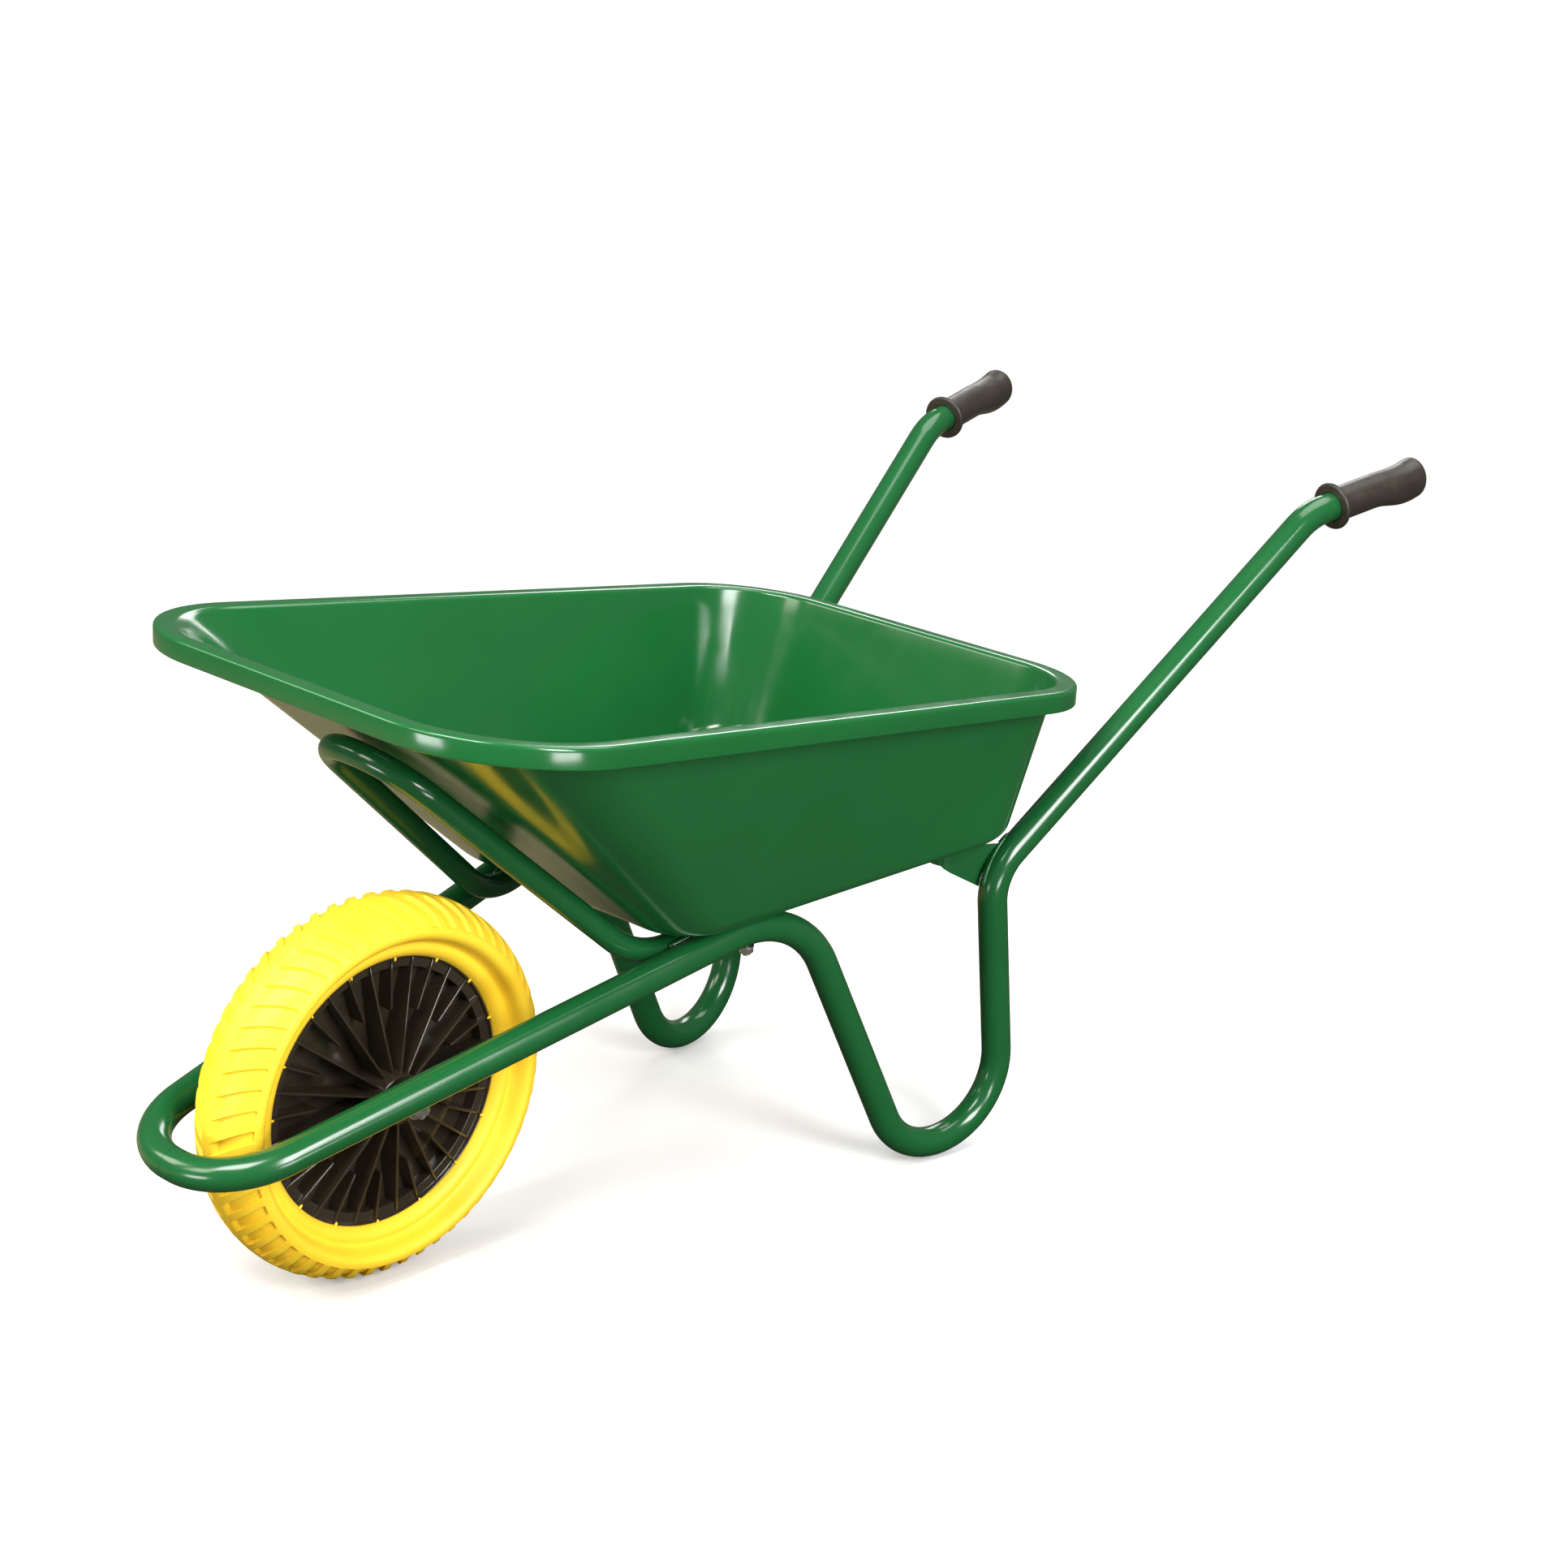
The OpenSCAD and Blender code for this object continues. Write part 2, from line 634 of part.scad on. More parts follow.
module tray() {
    color(green)
        translate([-mid_x, 0, 0])
            difference() {
                skin(concat(face_rings(0), reversed(face_rings(1))));
                bolt_holes(concat(front_bolts, rear_bolts));
            }
}

// =================== grips ===================

module grip() {
    color(black)
        translate([-mid_x, 0, 0])
            difference() {
                skin(grip_rings);
                rod(handle_end - grip_dir * (grip_len + 1), tube_end, tube_r + seat_gap);
            }
}
module grip_right() { mirror([0, 1, 0]) grip(); }
module grip_left() { grip(); }

// =================== tray fasteners ===================

// Repeats its children at the tray's bolts; $clamped is what each bolt holds under the floor
module at_tray_bolts() {
    translate([-mid_x, 0, 0]) {
        for (spot = front_bolts)
            on_floor(spot)
                let ($clamped = crest_grip)
                    children();
        for (spot = rear_bolts)
            on_floor(spot)
                let ($clamped = brace_t)
                    children();
    }
}
module tray_bolt(grip_t) {
    shank = grip_t + washer_t + nut_h + bolt_over;
    translate([0, 0, -shank])
        cylinder(h = shank + sheet, r = bolt_r, $fn = 32);
    translate([0, 0, sheet])
        intersection() {
            cylinder(h = bolt_head_h, r = bolt_head_r, $fn = 32);
            translate([0, 0, bolt_head_h - 1.35 * bolt_head_r])
                sphere(r = 1.35 * bolt_head_r);
        }
}
module tray_washer(grip_t) {
    translate([0, 0, -grip_t - washer_t])
        difference() {
            cylinder(h = washer_t, r = washer_r, $fn = 32);
            translate([0, 0, -1])
                cylinder(h = washer_t + 2, r = bolt_r + seat_gap, $fn = 32);
        }
}
module tray_nut(grip_t) {
    translate([0, 0, -grip_t - washer_t - nut_h])
        difference() {
            cylinder(h = nut_h, r = nut_flats / 2 / cos(30), $fn = 6);
            translate([0, 0, -1])
                cylinder(h = nut_h + 2, r = bolt_r + seat_gap, $fn = 32);
        }
}
module tray_bolts() {
    color(zinc)
        at_tray_bolts()
            tray_bolt($clamped);
}
module tray_washers() {
    color(zinc)
        at_tray_bolts()
            tray_washer($clamped);
}
module tray_nuts() {
    color(zinc)
        at_tray_bolts()
            tray_nut($clamped);
}

// =================== axle ===================

module axle_bolt() {
    color(zinc)
        at_axle() {
            rotate([-90, 0, 0])
                translate([0, 0, -head_in])
                    cylinder(h = 2 * head_in + axle_nut_h + bolt_over, r = axle_r);
            hexagon_bar(axle_flats, -head_in - head_h, -head_in);
        }
}
module axle_nut() {
    color(zinc)
        at_axle()
            difference() {
                hexagon_bar(axle_flats, head_in, head_in + axle_nut_h);
                ring(0, axle_r + seat_gap, head_in - 1, head_in + axle_nut_h + 1);
            }
}
module axle_washers() {
    color(zinc)
        at_axle()
            both_sides()
                ring(axle_r + seat_gap, axle_washer_r, bracket_out, head_in);
}
module axle_spacer() {
    color(zinc)
        at_axle()
            ring(axle_r + seat_gap, axle_r + spacer_wall, hub_half, bracket_in);
}
module axle_spacer_right() { axle_spacer(); }
module axle_spacer_left() { mirror([0, 1, 0]) axle_spacer(); }
module bearing_spacer_tube() {
    color(zinc)
        at_axle()
            ring(axle_r + seat_gap, axle_r + spacer_wall, -hub_half + bearing_w, hub_half - bearing_w);
}

// =================== wheel ===================

// Bearings: the races are cut from one ring whose middle the balls and their groove take up
groove_r = ball_d / 2 + run_gap;
race_gap = ball_d * 0.31;
module bearing_race(r_in, r_out) {
    color(zinc)
        at_axle()
            turned()
                difference() {
                    translate([r_in, hub_half - bearing_w])
                        square([r_out - r_in, bearing_w]);
                    translate([pitch_r, hub_half - bearing_w / 2])
                        circle(r = groove_r);
                }
}
module bearing_inner() { bearing_race(axle_r + seat_gap, pitch_r - race_gap); }
module bearing_inner_right() { bearing_inner(); }
module bearing_inner_left() { mirror([0, 1, 0]) bearing_inner(); }

module bearing_outer() { bearing_race(pitch_r + race_gap, bearing_d / 2); }
module bearing_outer_right() { bearing_outer(); }
module bearing_outer_left() { mirror([0, 1, 0]) bearing_outer(); }

module bearing_balls() {
    color(zinc)
        at_axle()
            for (i = [0 : ball_count - 1])
                rotate([0, i * 360 / ball_count, 0])
                    translate([pitch_r, hub_half - bearing_w / 2, 0])
                        sphere(d = ball_d, $fn = 32);
}
module bearing_balls_right() { bearing_balls(); }
module bearing_balls_left() { mirror([0, 1, 0]) bearing_balls(); }

// Moulded centre: hub, disc and barrel turned as one, with fins on both faces
barrel_out = bead_r - 5;
barrel_in = barrel_out - barrel_t;
hub_face = hub_half + 1;
flange_w = 4;        // low flange at each edge of the barrel, which holds the tyre
fin_hub_half = 0.82 * hub_half;
fin_rim_half = barrel_half - 2;
weld = 1;            // overlap between the centre's walls, which are moulded in one
module centre_profile() {
    // hub
    translate([bearing_d / 2 - 3, -hub_face])
        square([hub_r - bearing_d / 2 + 3, 2 * hub_face]);
    // disc
    translate([hub_r - weld, -web_t / 2])
        square([barrel_in - hub_r + 2 * weld, web_t]);
    // barrel and flanges
    translate([barrel_in, -barrel_half])
        square([barrel_t, 2 * barrel_half]);
    for (y = [-barrel_half, barrel_half - flange_w])
        translate([barrel_in, y])
            square([bead_r - barrel_in, flange_w]);
}
// A radial plate from radius r0, half0 to each side there, out to the barrel
module fin(r0, half0) {
    translate([0, 0, -fin_t / 2])
        linear_extrude(height = fin_t)
            polygon([[r0, -half0], [barrel_in + weld, -fin_rim_half],
                     [barrel_in + weld, fin_rim_half], [r0, half0]]);
}
module wheel_centre() {
    color(black)
        at_axle()
            difference() {
                union() {
                    turned(128)
                        centre_profile();
                    for (i = [0 : fin_count - 1]) {
                        rotate([0, i * 360 / fin_count, 0])
                            fin(hub_r - weld, fin_hub_half);
                        rotate([0, (i + 0.5) * 360 / fin_count, 0])
                            fin(short_fin_r, fin_rim_half + 4);
                    }
                }
                both_sides()
                    ring(0, bearing_d / 2, hub_half - bearing_w, hub_face + 1);
            }
}

// Tyre: half of its section, from the bead up the side wall and over the tread to the crown
tyre_half = tyre_w / 2;
tyre_r = wheel_d / 2;
side_h = tyre_r - bead_r;
bead_in = barrel_half - flange_w - seat_gap;
bead_section = [[barrel_out + seat_gap, bead_in], [bead_r + seat_gap, bead_in],
    [bead_r + seat_gap, barrel_half + 2], [bead_r + 4, barrel_half + 7],
    [bead_r + 12, barrel_half + 10], [bead_r + 15, barrel_half + 8], [bead_r + 18, barrel_half + 12]];
bulge_section = [[bead_r + 0.39 * side_h, tyre_half - 4], [bead_r + 0.49 * side_h, tyre_half]];
tread_section = [[bead_r + 0.6 * side_h, tyre_half - 1.5], [tyre_r - 15, tyre_half - 8.5],
    [tyre_r - 9, tyre_half - 15.5], [tyre_r - 4, tyre_half - 25], [tyre_r - 1, tyre_half - 35],
    [tyre_r, 0]];
half_section = concat(bead_section, bulge_section, tread_section);
module tyre_section() {
    polygon(concat(half_section, [for (p = reversed(half_section)) if (p[1] > 0) [p[0], -p[1]]]));
}
// What is cut between two lugs: as deep all the way from the middle rib out to the shoulder
slot_share = 0.55;   // share of a lug pitch that the slot takes
slot_lean = 30;      // angle between a slot and the wheel's axis
slot_end = tyre_half - 8;    // half width over the tread's shoulders
clear_cut = 3;       // how far a slot's cutter stands out of the tread
// Radius of the tread's surface at the half width y
function tread_r(y) =
    let (k = [for (i = [0 : len(tread_section) - 2])
                 if (tread_section[i][1] >= y && tread_section[i + 1][1] <= y) i][0],
         a = tread_section[k], b = tread_section[k + 1])
    a[0] + (b[0] - a[0]) * (y - a[1]) / (b[1] - a[1]);
module tread_slot() {
    w = slot_share * 2 * PI * tyre_r / lug_count * cos(slot_lean);
    floor_line = [for (u = [0 : 0.5 : 1]) let (y = rib_half + (slot_end - rib_half) * u)
                     [tread_r(y) - slot_depth, y]];
    rotate([-slot_lean, 0, 0])
        translate([0, 0, -w / 2])
            linear_extrude(height = w)
                polygon(concat(floor_line, [[tyre_r + clear_cut, slot_end + clear_cut],
                                            [tyre_r + clear_cut, rib_half]]));
}
module tyre() {
    color(yellow)
        at_axle()
            difference() {
                turned(128)
                    tyre_section();
                for (i = [0 : lug_count - 1]) {
                    rotate([0, i * 360 / lug_count, 0])
                        tread_slot();
                    rotate([0, (i + 0.5) * 360 / lug_count, 0])
                        mirror([0, 1, 0])
                            tread_slot();
                }
            }
}

// =================== assembly ===================

main_frame();
front_hoop();
rear_cross_brace();
axle_bracket_right();
axle_bracket_left();
tray();
grip_right();
grip_left();
tray_bolts();
tray_washers();
tray_nuts();
axle_bolt();
axle_nut();
axle_washers();
axle_spacer_right();
axle_spacer_left();
bearing_spacer_tube();
bearing_inner_right();
bearing_inner_left();
bearing_balls_right();
bearing_balls_left();
bearing_outer_right();
bearing_outer_left();
wheel_centre();
tyre();
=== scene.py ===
"""Builder's wheelbarrow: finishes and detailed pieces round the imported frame.

Metres, in the frame's own axes: +X from the wheel to the handles, +Y to the right, +Z up.
Sizes are written in millimetres times MM, and places along X are given from the wheel's axle.
"""
import math
import random

import bpy
from mathutils import Matrix, Vector
from mathutils.bvhtree import BVHTree

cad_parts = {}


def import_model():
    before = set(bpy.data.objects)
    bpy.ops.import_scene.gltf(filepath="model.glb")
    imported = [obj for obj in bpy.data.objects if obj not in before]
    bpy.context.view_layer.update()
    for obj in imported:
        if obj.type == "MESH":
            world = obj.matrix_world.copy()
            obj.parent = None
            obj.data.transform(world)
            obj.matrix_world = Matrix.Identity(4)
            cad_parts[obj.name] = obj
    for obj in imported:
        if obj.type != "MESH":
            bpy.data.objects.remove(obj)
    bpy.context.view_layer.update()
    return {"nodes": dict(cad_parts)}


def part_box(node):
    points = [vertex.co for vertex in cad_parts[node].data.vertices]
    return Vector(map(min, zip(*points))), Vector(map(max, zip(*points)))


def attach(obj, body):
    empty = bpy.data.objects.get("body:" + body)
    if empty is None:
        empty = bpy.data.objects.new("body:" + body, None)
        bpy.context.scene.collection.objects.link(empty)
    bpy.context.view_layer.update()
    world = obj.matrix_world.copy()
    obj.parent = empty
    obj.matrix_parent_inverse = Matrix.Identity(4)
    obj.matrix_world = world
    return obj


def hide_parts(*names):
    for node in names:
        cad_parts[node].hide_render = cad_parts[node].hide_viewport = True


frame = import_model()

MM = 0.001
TAU = 2 * math.pi


# =================== places taken from the frame ===================

def middle(node):
    low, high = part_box(node)
    return (low + high) / 2


AXLE = Vector((middle("axle_bolt").x, 0, middle("axle_bolt").z))
WHEEL_R = (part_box("tyre")[1].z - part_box("tyre")[0].z) / 2
TYRE_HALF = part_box("tyre")[1].y

TUBE_R = 16 * MM
TUBE_WALL = 1.5 * MM
WELD_GAP = 0.1 * MM      # between the CAD's welded tubes
FIT = 0.05 * MM          # clearance between pieces that sit in or on one another

# corners of the main tube on the left side, from the nose to the handle's end
NOSE = Vector((-229, -74, 180.6)) * MM
CREST = Vector((408, -166.8, 333)) * MM
FOOT = Vector((765, -207.6, -381)) * MM
KNEE = Vector((665.4, -205.8, 315.9)) * MM
HANDLE_BEND = Vector((1083, -279.4, 663.4)) * MM
HANDLE_END = Vector((1249, -307.1, 693.4)) * MM
TUBE_BENDS = [81 * MM, 103 * MM, 81.3 * MM, 60.7 * MM, 82.6 * MM]
HANDLE_DIR = (HANDLE_END - HANDLE_BEND).normalized()
RAIL_DIR = (CREST - NOSE).normalized()
GRIP_END_T = 24 * MM     # solid rubber between the tube's end and the grip's end
FLOOR_RISE = 0.092       # rise of the tray's floor towards the handles


def behind_axle(point):
    """A point given from the axle's X, moved into the frame's axes."""
    return Vector((point[0] + AXLE.x, point[1], point[2]))


def flip_y(point):
    """The same point on the other side of the barrow."""
    return Vector((point[0], -point[1], point[2]))


# =================== mesh helpers ===================

def mesh_object(name, points, faces, body, material, sharp):
    """A mesh piece that rides on a body, smooth but for edges sharper than the angle in degrees."""
    mesh = bpy.data.meshes.new(name)
    mesh.from_pydata([tuple(p) for p in points], [], faces)
    mesh.validate()
    mesh.shade_smooth()
    mesh.set_sharp_from_angle(angle=math.radians(sharp))
    mesh.materials.append(material)
    piece = bpy.data.objects.new(name, mesh)
    bpy.context.scene.collection.objects.link(piece)
    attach(piece, body)
    return piece


def circle(radius, height, steps):
    """Points round the Z axis."""
    turns = [TAU * i / steps for i in range(steps)]
    return [(radius * math.cos(w), radius * math.sin(w), height) for w in turns]


class Form:
    """Collects points and faces of several closed shapes that make one piece."""

    def __init__(self):
        self.points = []
        self.faces = []

    def loft(self, rings, closed=False, caps=True, place=None):
        """Skins rings of equally many points. closed joins the last ring to the first, and
        place is a matrix that moves the points into the frame's axes."""
        start = len(self.points)
        count = len(rings[0])
        for ring in rings:
            self.points += [place @ Vector(p) if place else Vector(p) for p in ring]
        last = len(rings) if closed else len(rings) - 1
        for j in range(last):
            a = start + j * count
            b = start + (j + 1) % len(rings) * count
            for i in range(count):
                k = (i + 1) % count
                self.faces.append((a + i, a + k, b + k, b + i))
        if caps and not closed:
            self.faces.append(tuple(start + i for i in reversed(range(count))))
            end = start + (len(rings) - 1) * count
            self.faces.append(tuple(end + i for i in range(count)))

    def lathe(self, profile, steps, place):
        """Turns a profile of (radius, height) about +Z. The profile runs from axis to axis."""
        first = len(self.points)
        self.loft([circle(r, z, steps) for r, z in profile[1:-1]], caps=False, place=place)
        last = len(self.points) - steps
        for start, height, turn in ((first, profile[0][1], -1), (last, profile[-1][1], 1)):
            pole = len(self.points)
            self.points.append(place @ Vector((0, 0, height)))
            for i in range(steps):
                self.faces.append((pole, start + i, start + (i + 1) % steps)[::turn])

    def turned_ring(self, profile, steps, place):
        """Turns a closed profile of (radius, height) about +Z into a ring with a hole."""
        self.loft([circle(r, z, steps) for r, z in profile], closed=True, place=place)

    def piece(self, name, body, material, sharp=30):
        return mesh_object(name, self.points, self.faces, body, material, sharp)


def along(direction, origin):
    """Matrix that puts +Z along the direction and the origin at the point."""
    turn = Vector(direction).to_track_quat("Z", "Y").to_matrix().to_4x4()
    return Matrix.Translation(origin) @ turn


def mix(a, b, u):
    """A ring of points between rings a and b."""
    return [p.lerp(q, u) for p, q in zip(a, b)]


def smoothstep(low, high, value):
    u = min(1.0, max(0.0, (value - low) / (high - low)))
    return u * u * (3 - 2 * u)


def spline(knots, steps):
    """Catmull-Rom curve through the knots, which are tuples of equal length."""
    padded = [knots[0]] + list(knots) + [knots[-1]]
    curve = []
    for i in range(len(knots) - 1):
        for step in range(steps):
            u = step / steps
            curve.append(tuple(
                0.5 * (2 * b + (c - a) * u + (2 * a - 5 * b + 4 * c - d) * u * u
                       + (3 * b - a - 3 * c + d) * u ** 3)
                for a, b, c, d in zip(*padded[i:i + 4])))
    curve.append(tuple(knots[-1]))
    return curve


# =================== materials ===================

def new_material(name):
    material = bpy.data.materials.new(name)
    material.use_nodes = True
    return material, material.node_tree.nodes, material.node_tree.links


def noise_node(nodes, links, scale, detail=3.0, roughness=0.5, stretch=None):
    """Noise in the object's own coordinates, at so many features a metre."""
    place = nodes.new("ShaderNodeTexCoord")
    noise = nodes.new("ShaderNodeTexNoise")
    noise.inputs["Scale"].default_value = scale
    noise.inputs["Detail"].default_value = detail
    noise.inputs["Roughness"].default_value = roughness
    if stretch:
        mapping = nodes.new("ShaderNodeMapping")
        mapping.inputs["Scale"].default_value = stretch
        links.new(place.outputs["Object"], mapping.inputs["Vector"])
        links.new(mapping.outputs["Vector"], noise.inputs["Vector"])
    else:
        links.new(place.outputs["Object"], noise.inputs["Vector"])
    return noise.outputs["Fac"]


def ramp(nodes, links, source, stops):
    """Colour ramp of (position, colour) stops fed by the source."""
    node = nodes.new("ShaderNodeValToRGB")
    elements = node.color_ramp.elements
    while len(elements) < len(stops):
        elements.new(0.5)
    for element, (position, colour) in zip(elements, stops):
        element.position = position
        element.color = (*colour, 1)
    links.new(source, node.inputs["Fac"])
    return node.outputs["Color"]


def spread(nodes, links, source, low, high):
    """Maps 0.3..0.7 of a noise to low..high."""
    node = nodes.new("ShaderNodeMapRange")
    node.inputs["From Min"].default_value = 0.3
    node.inputs["From Max"].default_value = 0.7
    node.inputs["To Min"].default_value = low
    node.inputs["To Max"].default_value = high
    links.new(source, node.inputs["Value"])
    return node.outputs["Result"]


def bump(nodes, links, height, distance, strength, under=None):
    """Normal from a height texture, on top of another normal if one is given."""
    node = nodes.new("ShaderNodeBump")
    node.inputs["Strength"].default_value = strength
    node.inputs["Distance"].default_value = distance
    links.new(height, node.inputs["Height"])
    if under:
        links.new(under, node.inputs["Normal"])
    return node.outputs["Normal"]


def enamel(name, deep, pale, rough=0.15):
    """Gloss stove enamel: even colour, faint cloudiness and slow waves in the film."""
    material, nodes, links = new_material(name)
    shader = nodes["Principled BSDF"]
    cloud = noise_node(nodes, links, 7, 4)
    links.new(ramp(nodes, links, cloud, [(0.3, deep), (0.7, pale)]), shader.inputs["Base Color"])
    smear = noise_node(nodes, links, 23, 3)
    links.new(spread(nodes, links, smear, rough - 0.03, rough + 0.05), shader.inputs["Roughness"])
    shader.inputs["IOR"].default_value = 1.58
    wave = noise_node(nodes, links, 24, 1, 0.4)
    links.new(bump(nodes, links, wave, 0.3 * MM, 0.25), shader.inputs["Normal"])
    return material


def foam(name):
    """Solid polyurethane foam: a yellow skin with fine pores and slow waves."""
    material, nodes, links = new_material(name)
    shader = nodes["Principled BSDF"]
    tone = noise_node(nodes, links, 16, 4)
    links.new(
        ramp(nodes, links, tone, [(0.3, (0.98, 0.60, 0.024)), (0.7, (1.0, 0.67, 0.036))]),
        shader.inputs["Base Color"])
    shader.inputs["Roughness"].default_value = 0.46
    shader.inputs["Subsurface Weight"].default_value = 0.12
    shader.inputs["Subsurface Radius"].default_value = (0.012, 0.007, 0.001)
    shader.inputs["Subsurface Scale"].default_value = 0.5
    shader.inputs["Specular IOR Level"].default_value = 0.4
    pores = noise_node(nodes, links, 1500, 2, 0.6)
    waves = noise_node(nodes, links, 60, 3)
    normal = bump(nodes, links, waves, 0.6 * MM, 0.35)
    links.new(bump(nodes, links, pores, 0.08 * MM, 0.5, normal), shader.inputs["Normal"])
    return material


def rubber(name):
    """Satin dark brown-black handle rubber with a faint bloom."""
    material, nodes, links = new_material(name)
    shader = nodes["Principled BSDF"]
    bloom = noise_node(nodes, links, 55, 5, 0.6)
    links.new(
        ramp(nodes, links, bloom, [(0.35, (0.023, 0.018, 0.013)), (0.7, (0.032, 0.026, 0.019))]),
        shader.inputs["Base Color"])
    links.new(spread(nodes, links, bloom, 0.36, 0.46), shader.inputs["Roughness"])
    grain = noise_node(nodes, links, 1100, 3, 0.6)
    links.new(bump(nodes, links, grain, 0.02 * MM, 0.2), shader.inputs["Normal"])
    return material


def moulded_plastic(name):
    """Glossy black polypropylene with a faint brown cast."""
    material, nodes, links = new_material(name)
    shader = nodes["Principled BSDF"]
    flow = noise_node(nodes, links, 18, 4)
    links.new(
        ramp(nodes, links, flow, [(0.3, (0.022, 0.016, 0.010)), (0.7, (0.032, 0.024, 0.015))]),
        shader.inputs["Base Color"])
    links.new(spread(nodes, links, flow, 0.12, 0.20), shader.inputs["Roughness"])
    shader.inputs["IOR"].default_value = 1.7
    grain = noise_node(nodes, links, 700, 2)
    links.new(bump(nodes, links, grain, 0.02 * MM, 0.3), shader.inputs["Normal"])
    return material


def metal(name, dark, light, rough, stretch=None):
    """Bright metal with uneven roughness and fine marks, which stretch draws out."""
    material, nodes, links = new_material(name)
    shader = nodes["Principled BSDF"]
    patches = noise_node(nodes, links, 140, 4)
    links.new(ramp(nodes, links, patches, [(0.35, dark), (0.65, light)]), shader.inputs["Base Color"])
    shader.inputs["Metallic"].default_value = 1.0
    links.new(spread(nodes, links, patches, rough - 0.07, rough + 0.1), shader.inputs["Roughness"])
    marks = noise_node(nodes, links, 900, 3, 0.5, stretch)
    links.new(bump(nodes, links, marks, 0.03 * MM, 0.5), shader.inputs["Normal"])
    return material


# what the object's gloss mirrors of the floor: a painted shadow, dark under and before it, and beige
# floor beyond it along Y
MIRRORED_SHADOW = (0.05, 0.044, 0.034)
MIRRORED_FAR = (0.25, 0.205, 0.125)
MIRRORED_FROM = 0.2
MIRRORED_TO = 0.45
FLOOR_FADE_FROM = 1.3    # distance from the origin at which the floor starts to fade
FLOOR_FADE_TO = 3.2
FLOOR_GLOW = 0.13        # studio light that fills the shadow


def smooth_range(nodes, links, source, low, high):
    """Maps low..high of a value to 0..1 without a kink."""
    node = nodes.new("ShaderNodeMapRange")
    node.interpolation_type = "SMOOTHSTEP"
    node.inputs["From Min"].default_value = low
    node.inputs["From Max"].default_value = high
    links.new(source, node.inputs["Value"])
    return node.outputs["Result"]


def mix_shaders(nodes, links, factor, first, second):
    """The first shader where the factor is 0, the second where it is 1."""
    node = nodes.new("ShaderNodeMixShader")
    links.new(factor, node.inputs["Fac"])
    links.new(first, node.inputs[1])
    links.new(second, node.inputs[2])
    return node.outputs["Shader"]


def floor_material(name):
    """Pale floor that fades into the pale background, and that the object mirrors as a dark one with a
    painted shadow under and before the barrow.
    """
    material, nodes, links = new_material(name)
    pale = nodes["Principled BSDF"]
    tone = noise_node(nodes, links, 1.5, 3)
    links.new(
        ramp(nodes, links, tone, [(0.3, (0.84, 0.835, 0.825)), (0.7, (0.86, 0.855, 0.845))]),
        pale.inputs["Base Color"])
    pale.inputs["Roughness"].default_value = 0.8
    pale.inputs["Emission Color"].default_value = (1, 1, 1, 1)
    pale.inputs["Emission Strength"].default_value = FLOOR_GLOW
    place = nodes.new("ShaderNodeTexCoord").outputs["Object"]
    parts = nodes.new("ShaderNodeSeparateXYZ")
    links.new(place, parts.inputs["Vector"])
    # painted shadow: what the object mirrors of the floor is dark at low Y, under and before the
    # barrow, and turns beige beyond
    beyond = smooth_range(nodes, links, parts.outputs["Y"], MIRRORED_FROM, MIRRORED_TO)
    dark = nodes.new("ShaderNodeBsdfDiffuse")
    links.new(
        ramp(nodes, links, beyond, [(0, MIRRORED_SHADOW), (1, MIRRORED_FAR)]), dark.inputs["Color"])
    is_camera_ray = nodes.new("ShaderNodeLightPath").outputs["Is Camera Ray"]
    seen = mix_shaders(nodes, links, is_camera_ray, dark.outputs["BSDF"], pale.outputs["BSDF"])
    length = nodes.new("ShaderNodeVectorMath")
    length.operation = "LENGTH"
    links.new(place, length.inputs[0])
    fade = smooth_range(nodes, links, length.outputs["Value"], FLOOR_FADE_FROM, FLOOR_FADE_TO)
    clear = nodes.new("ShaderNodeBsdfTransparent").outputs["BSDF"]
    whole = mix_shaders(nodes, links, fade, seen, clear)
    links.new(whole, nodes["Material Output"].inputs["Surface"])
    return material


TRAY_PAINT = enamel("tray_enamel", (0.0072, 0.099, 0.0230), (0.0086, 0.108, 0.0262))
FRAME_PAINT = enamel("frame_enamel", (0.0072, 0.088, 0.0220), (0.0084, 0.096, 0.0250), 0.17)
FOAM = foam("foam_yellow")
RUBBER = rubber("handle_rubber")
PLASTIC = moulded_plastic("wheel_plastic_black")
ZINC = metal("zinc_plate", (0.50, 0.51, 0.52), (0.68, 0.69, 0.69), 0.33)
BEARING = metal("bearing_ground", (0.50, 0.50, 0.51), (0.62, 0.62, 0.63), 0.2, (1, 0.05, 1))


def finish_cad(node, material):
    """Gives a CAD node that stays visible its material."""
    piece = frame["nodes"][node]
    piece.data.materials.clear()
    piece.data.materials.append(material)


# =================== tubes ===================

TUBE_SIDES = 48
BEND_STEP = math.radians(3)
NEAR_BEND = 4 * MM       # a ring this far before and after a bend keeps the straights flat


def tube_stations(corners, bends):
    """Places and directions along a tube that turns at its inner corners in arcs."""
    stations = [(corners[0], (corners[1] - corners[0]).normalized())]
    for before, corner, after, bend in zip(corners, corners[1:], corners[2:], bends):
        a = (corner - before).normalized()
        b = (after - corner).normalized()
        turn = a.angle(b)
        start = corner - a * bend * math.tan(turn / 2)
        centre = corner + (b - a).normalized() * bend / math.cos(turn / 2)
        stations.append((start - a * NEAR_BEND, a))
        count = math.ceil(turn / BEND_STEP)
        for k in range(count + 1):
            turned = Matrix.Rotation(turn * k / count, 3, a.cross(b))
            stations.append((centre + turned @ (start - centre), turned @ a))
        stations.append((stations[-1][0] + b * NEAR_BEND, b))
    stations.append((corners[-1], b))
    return stations


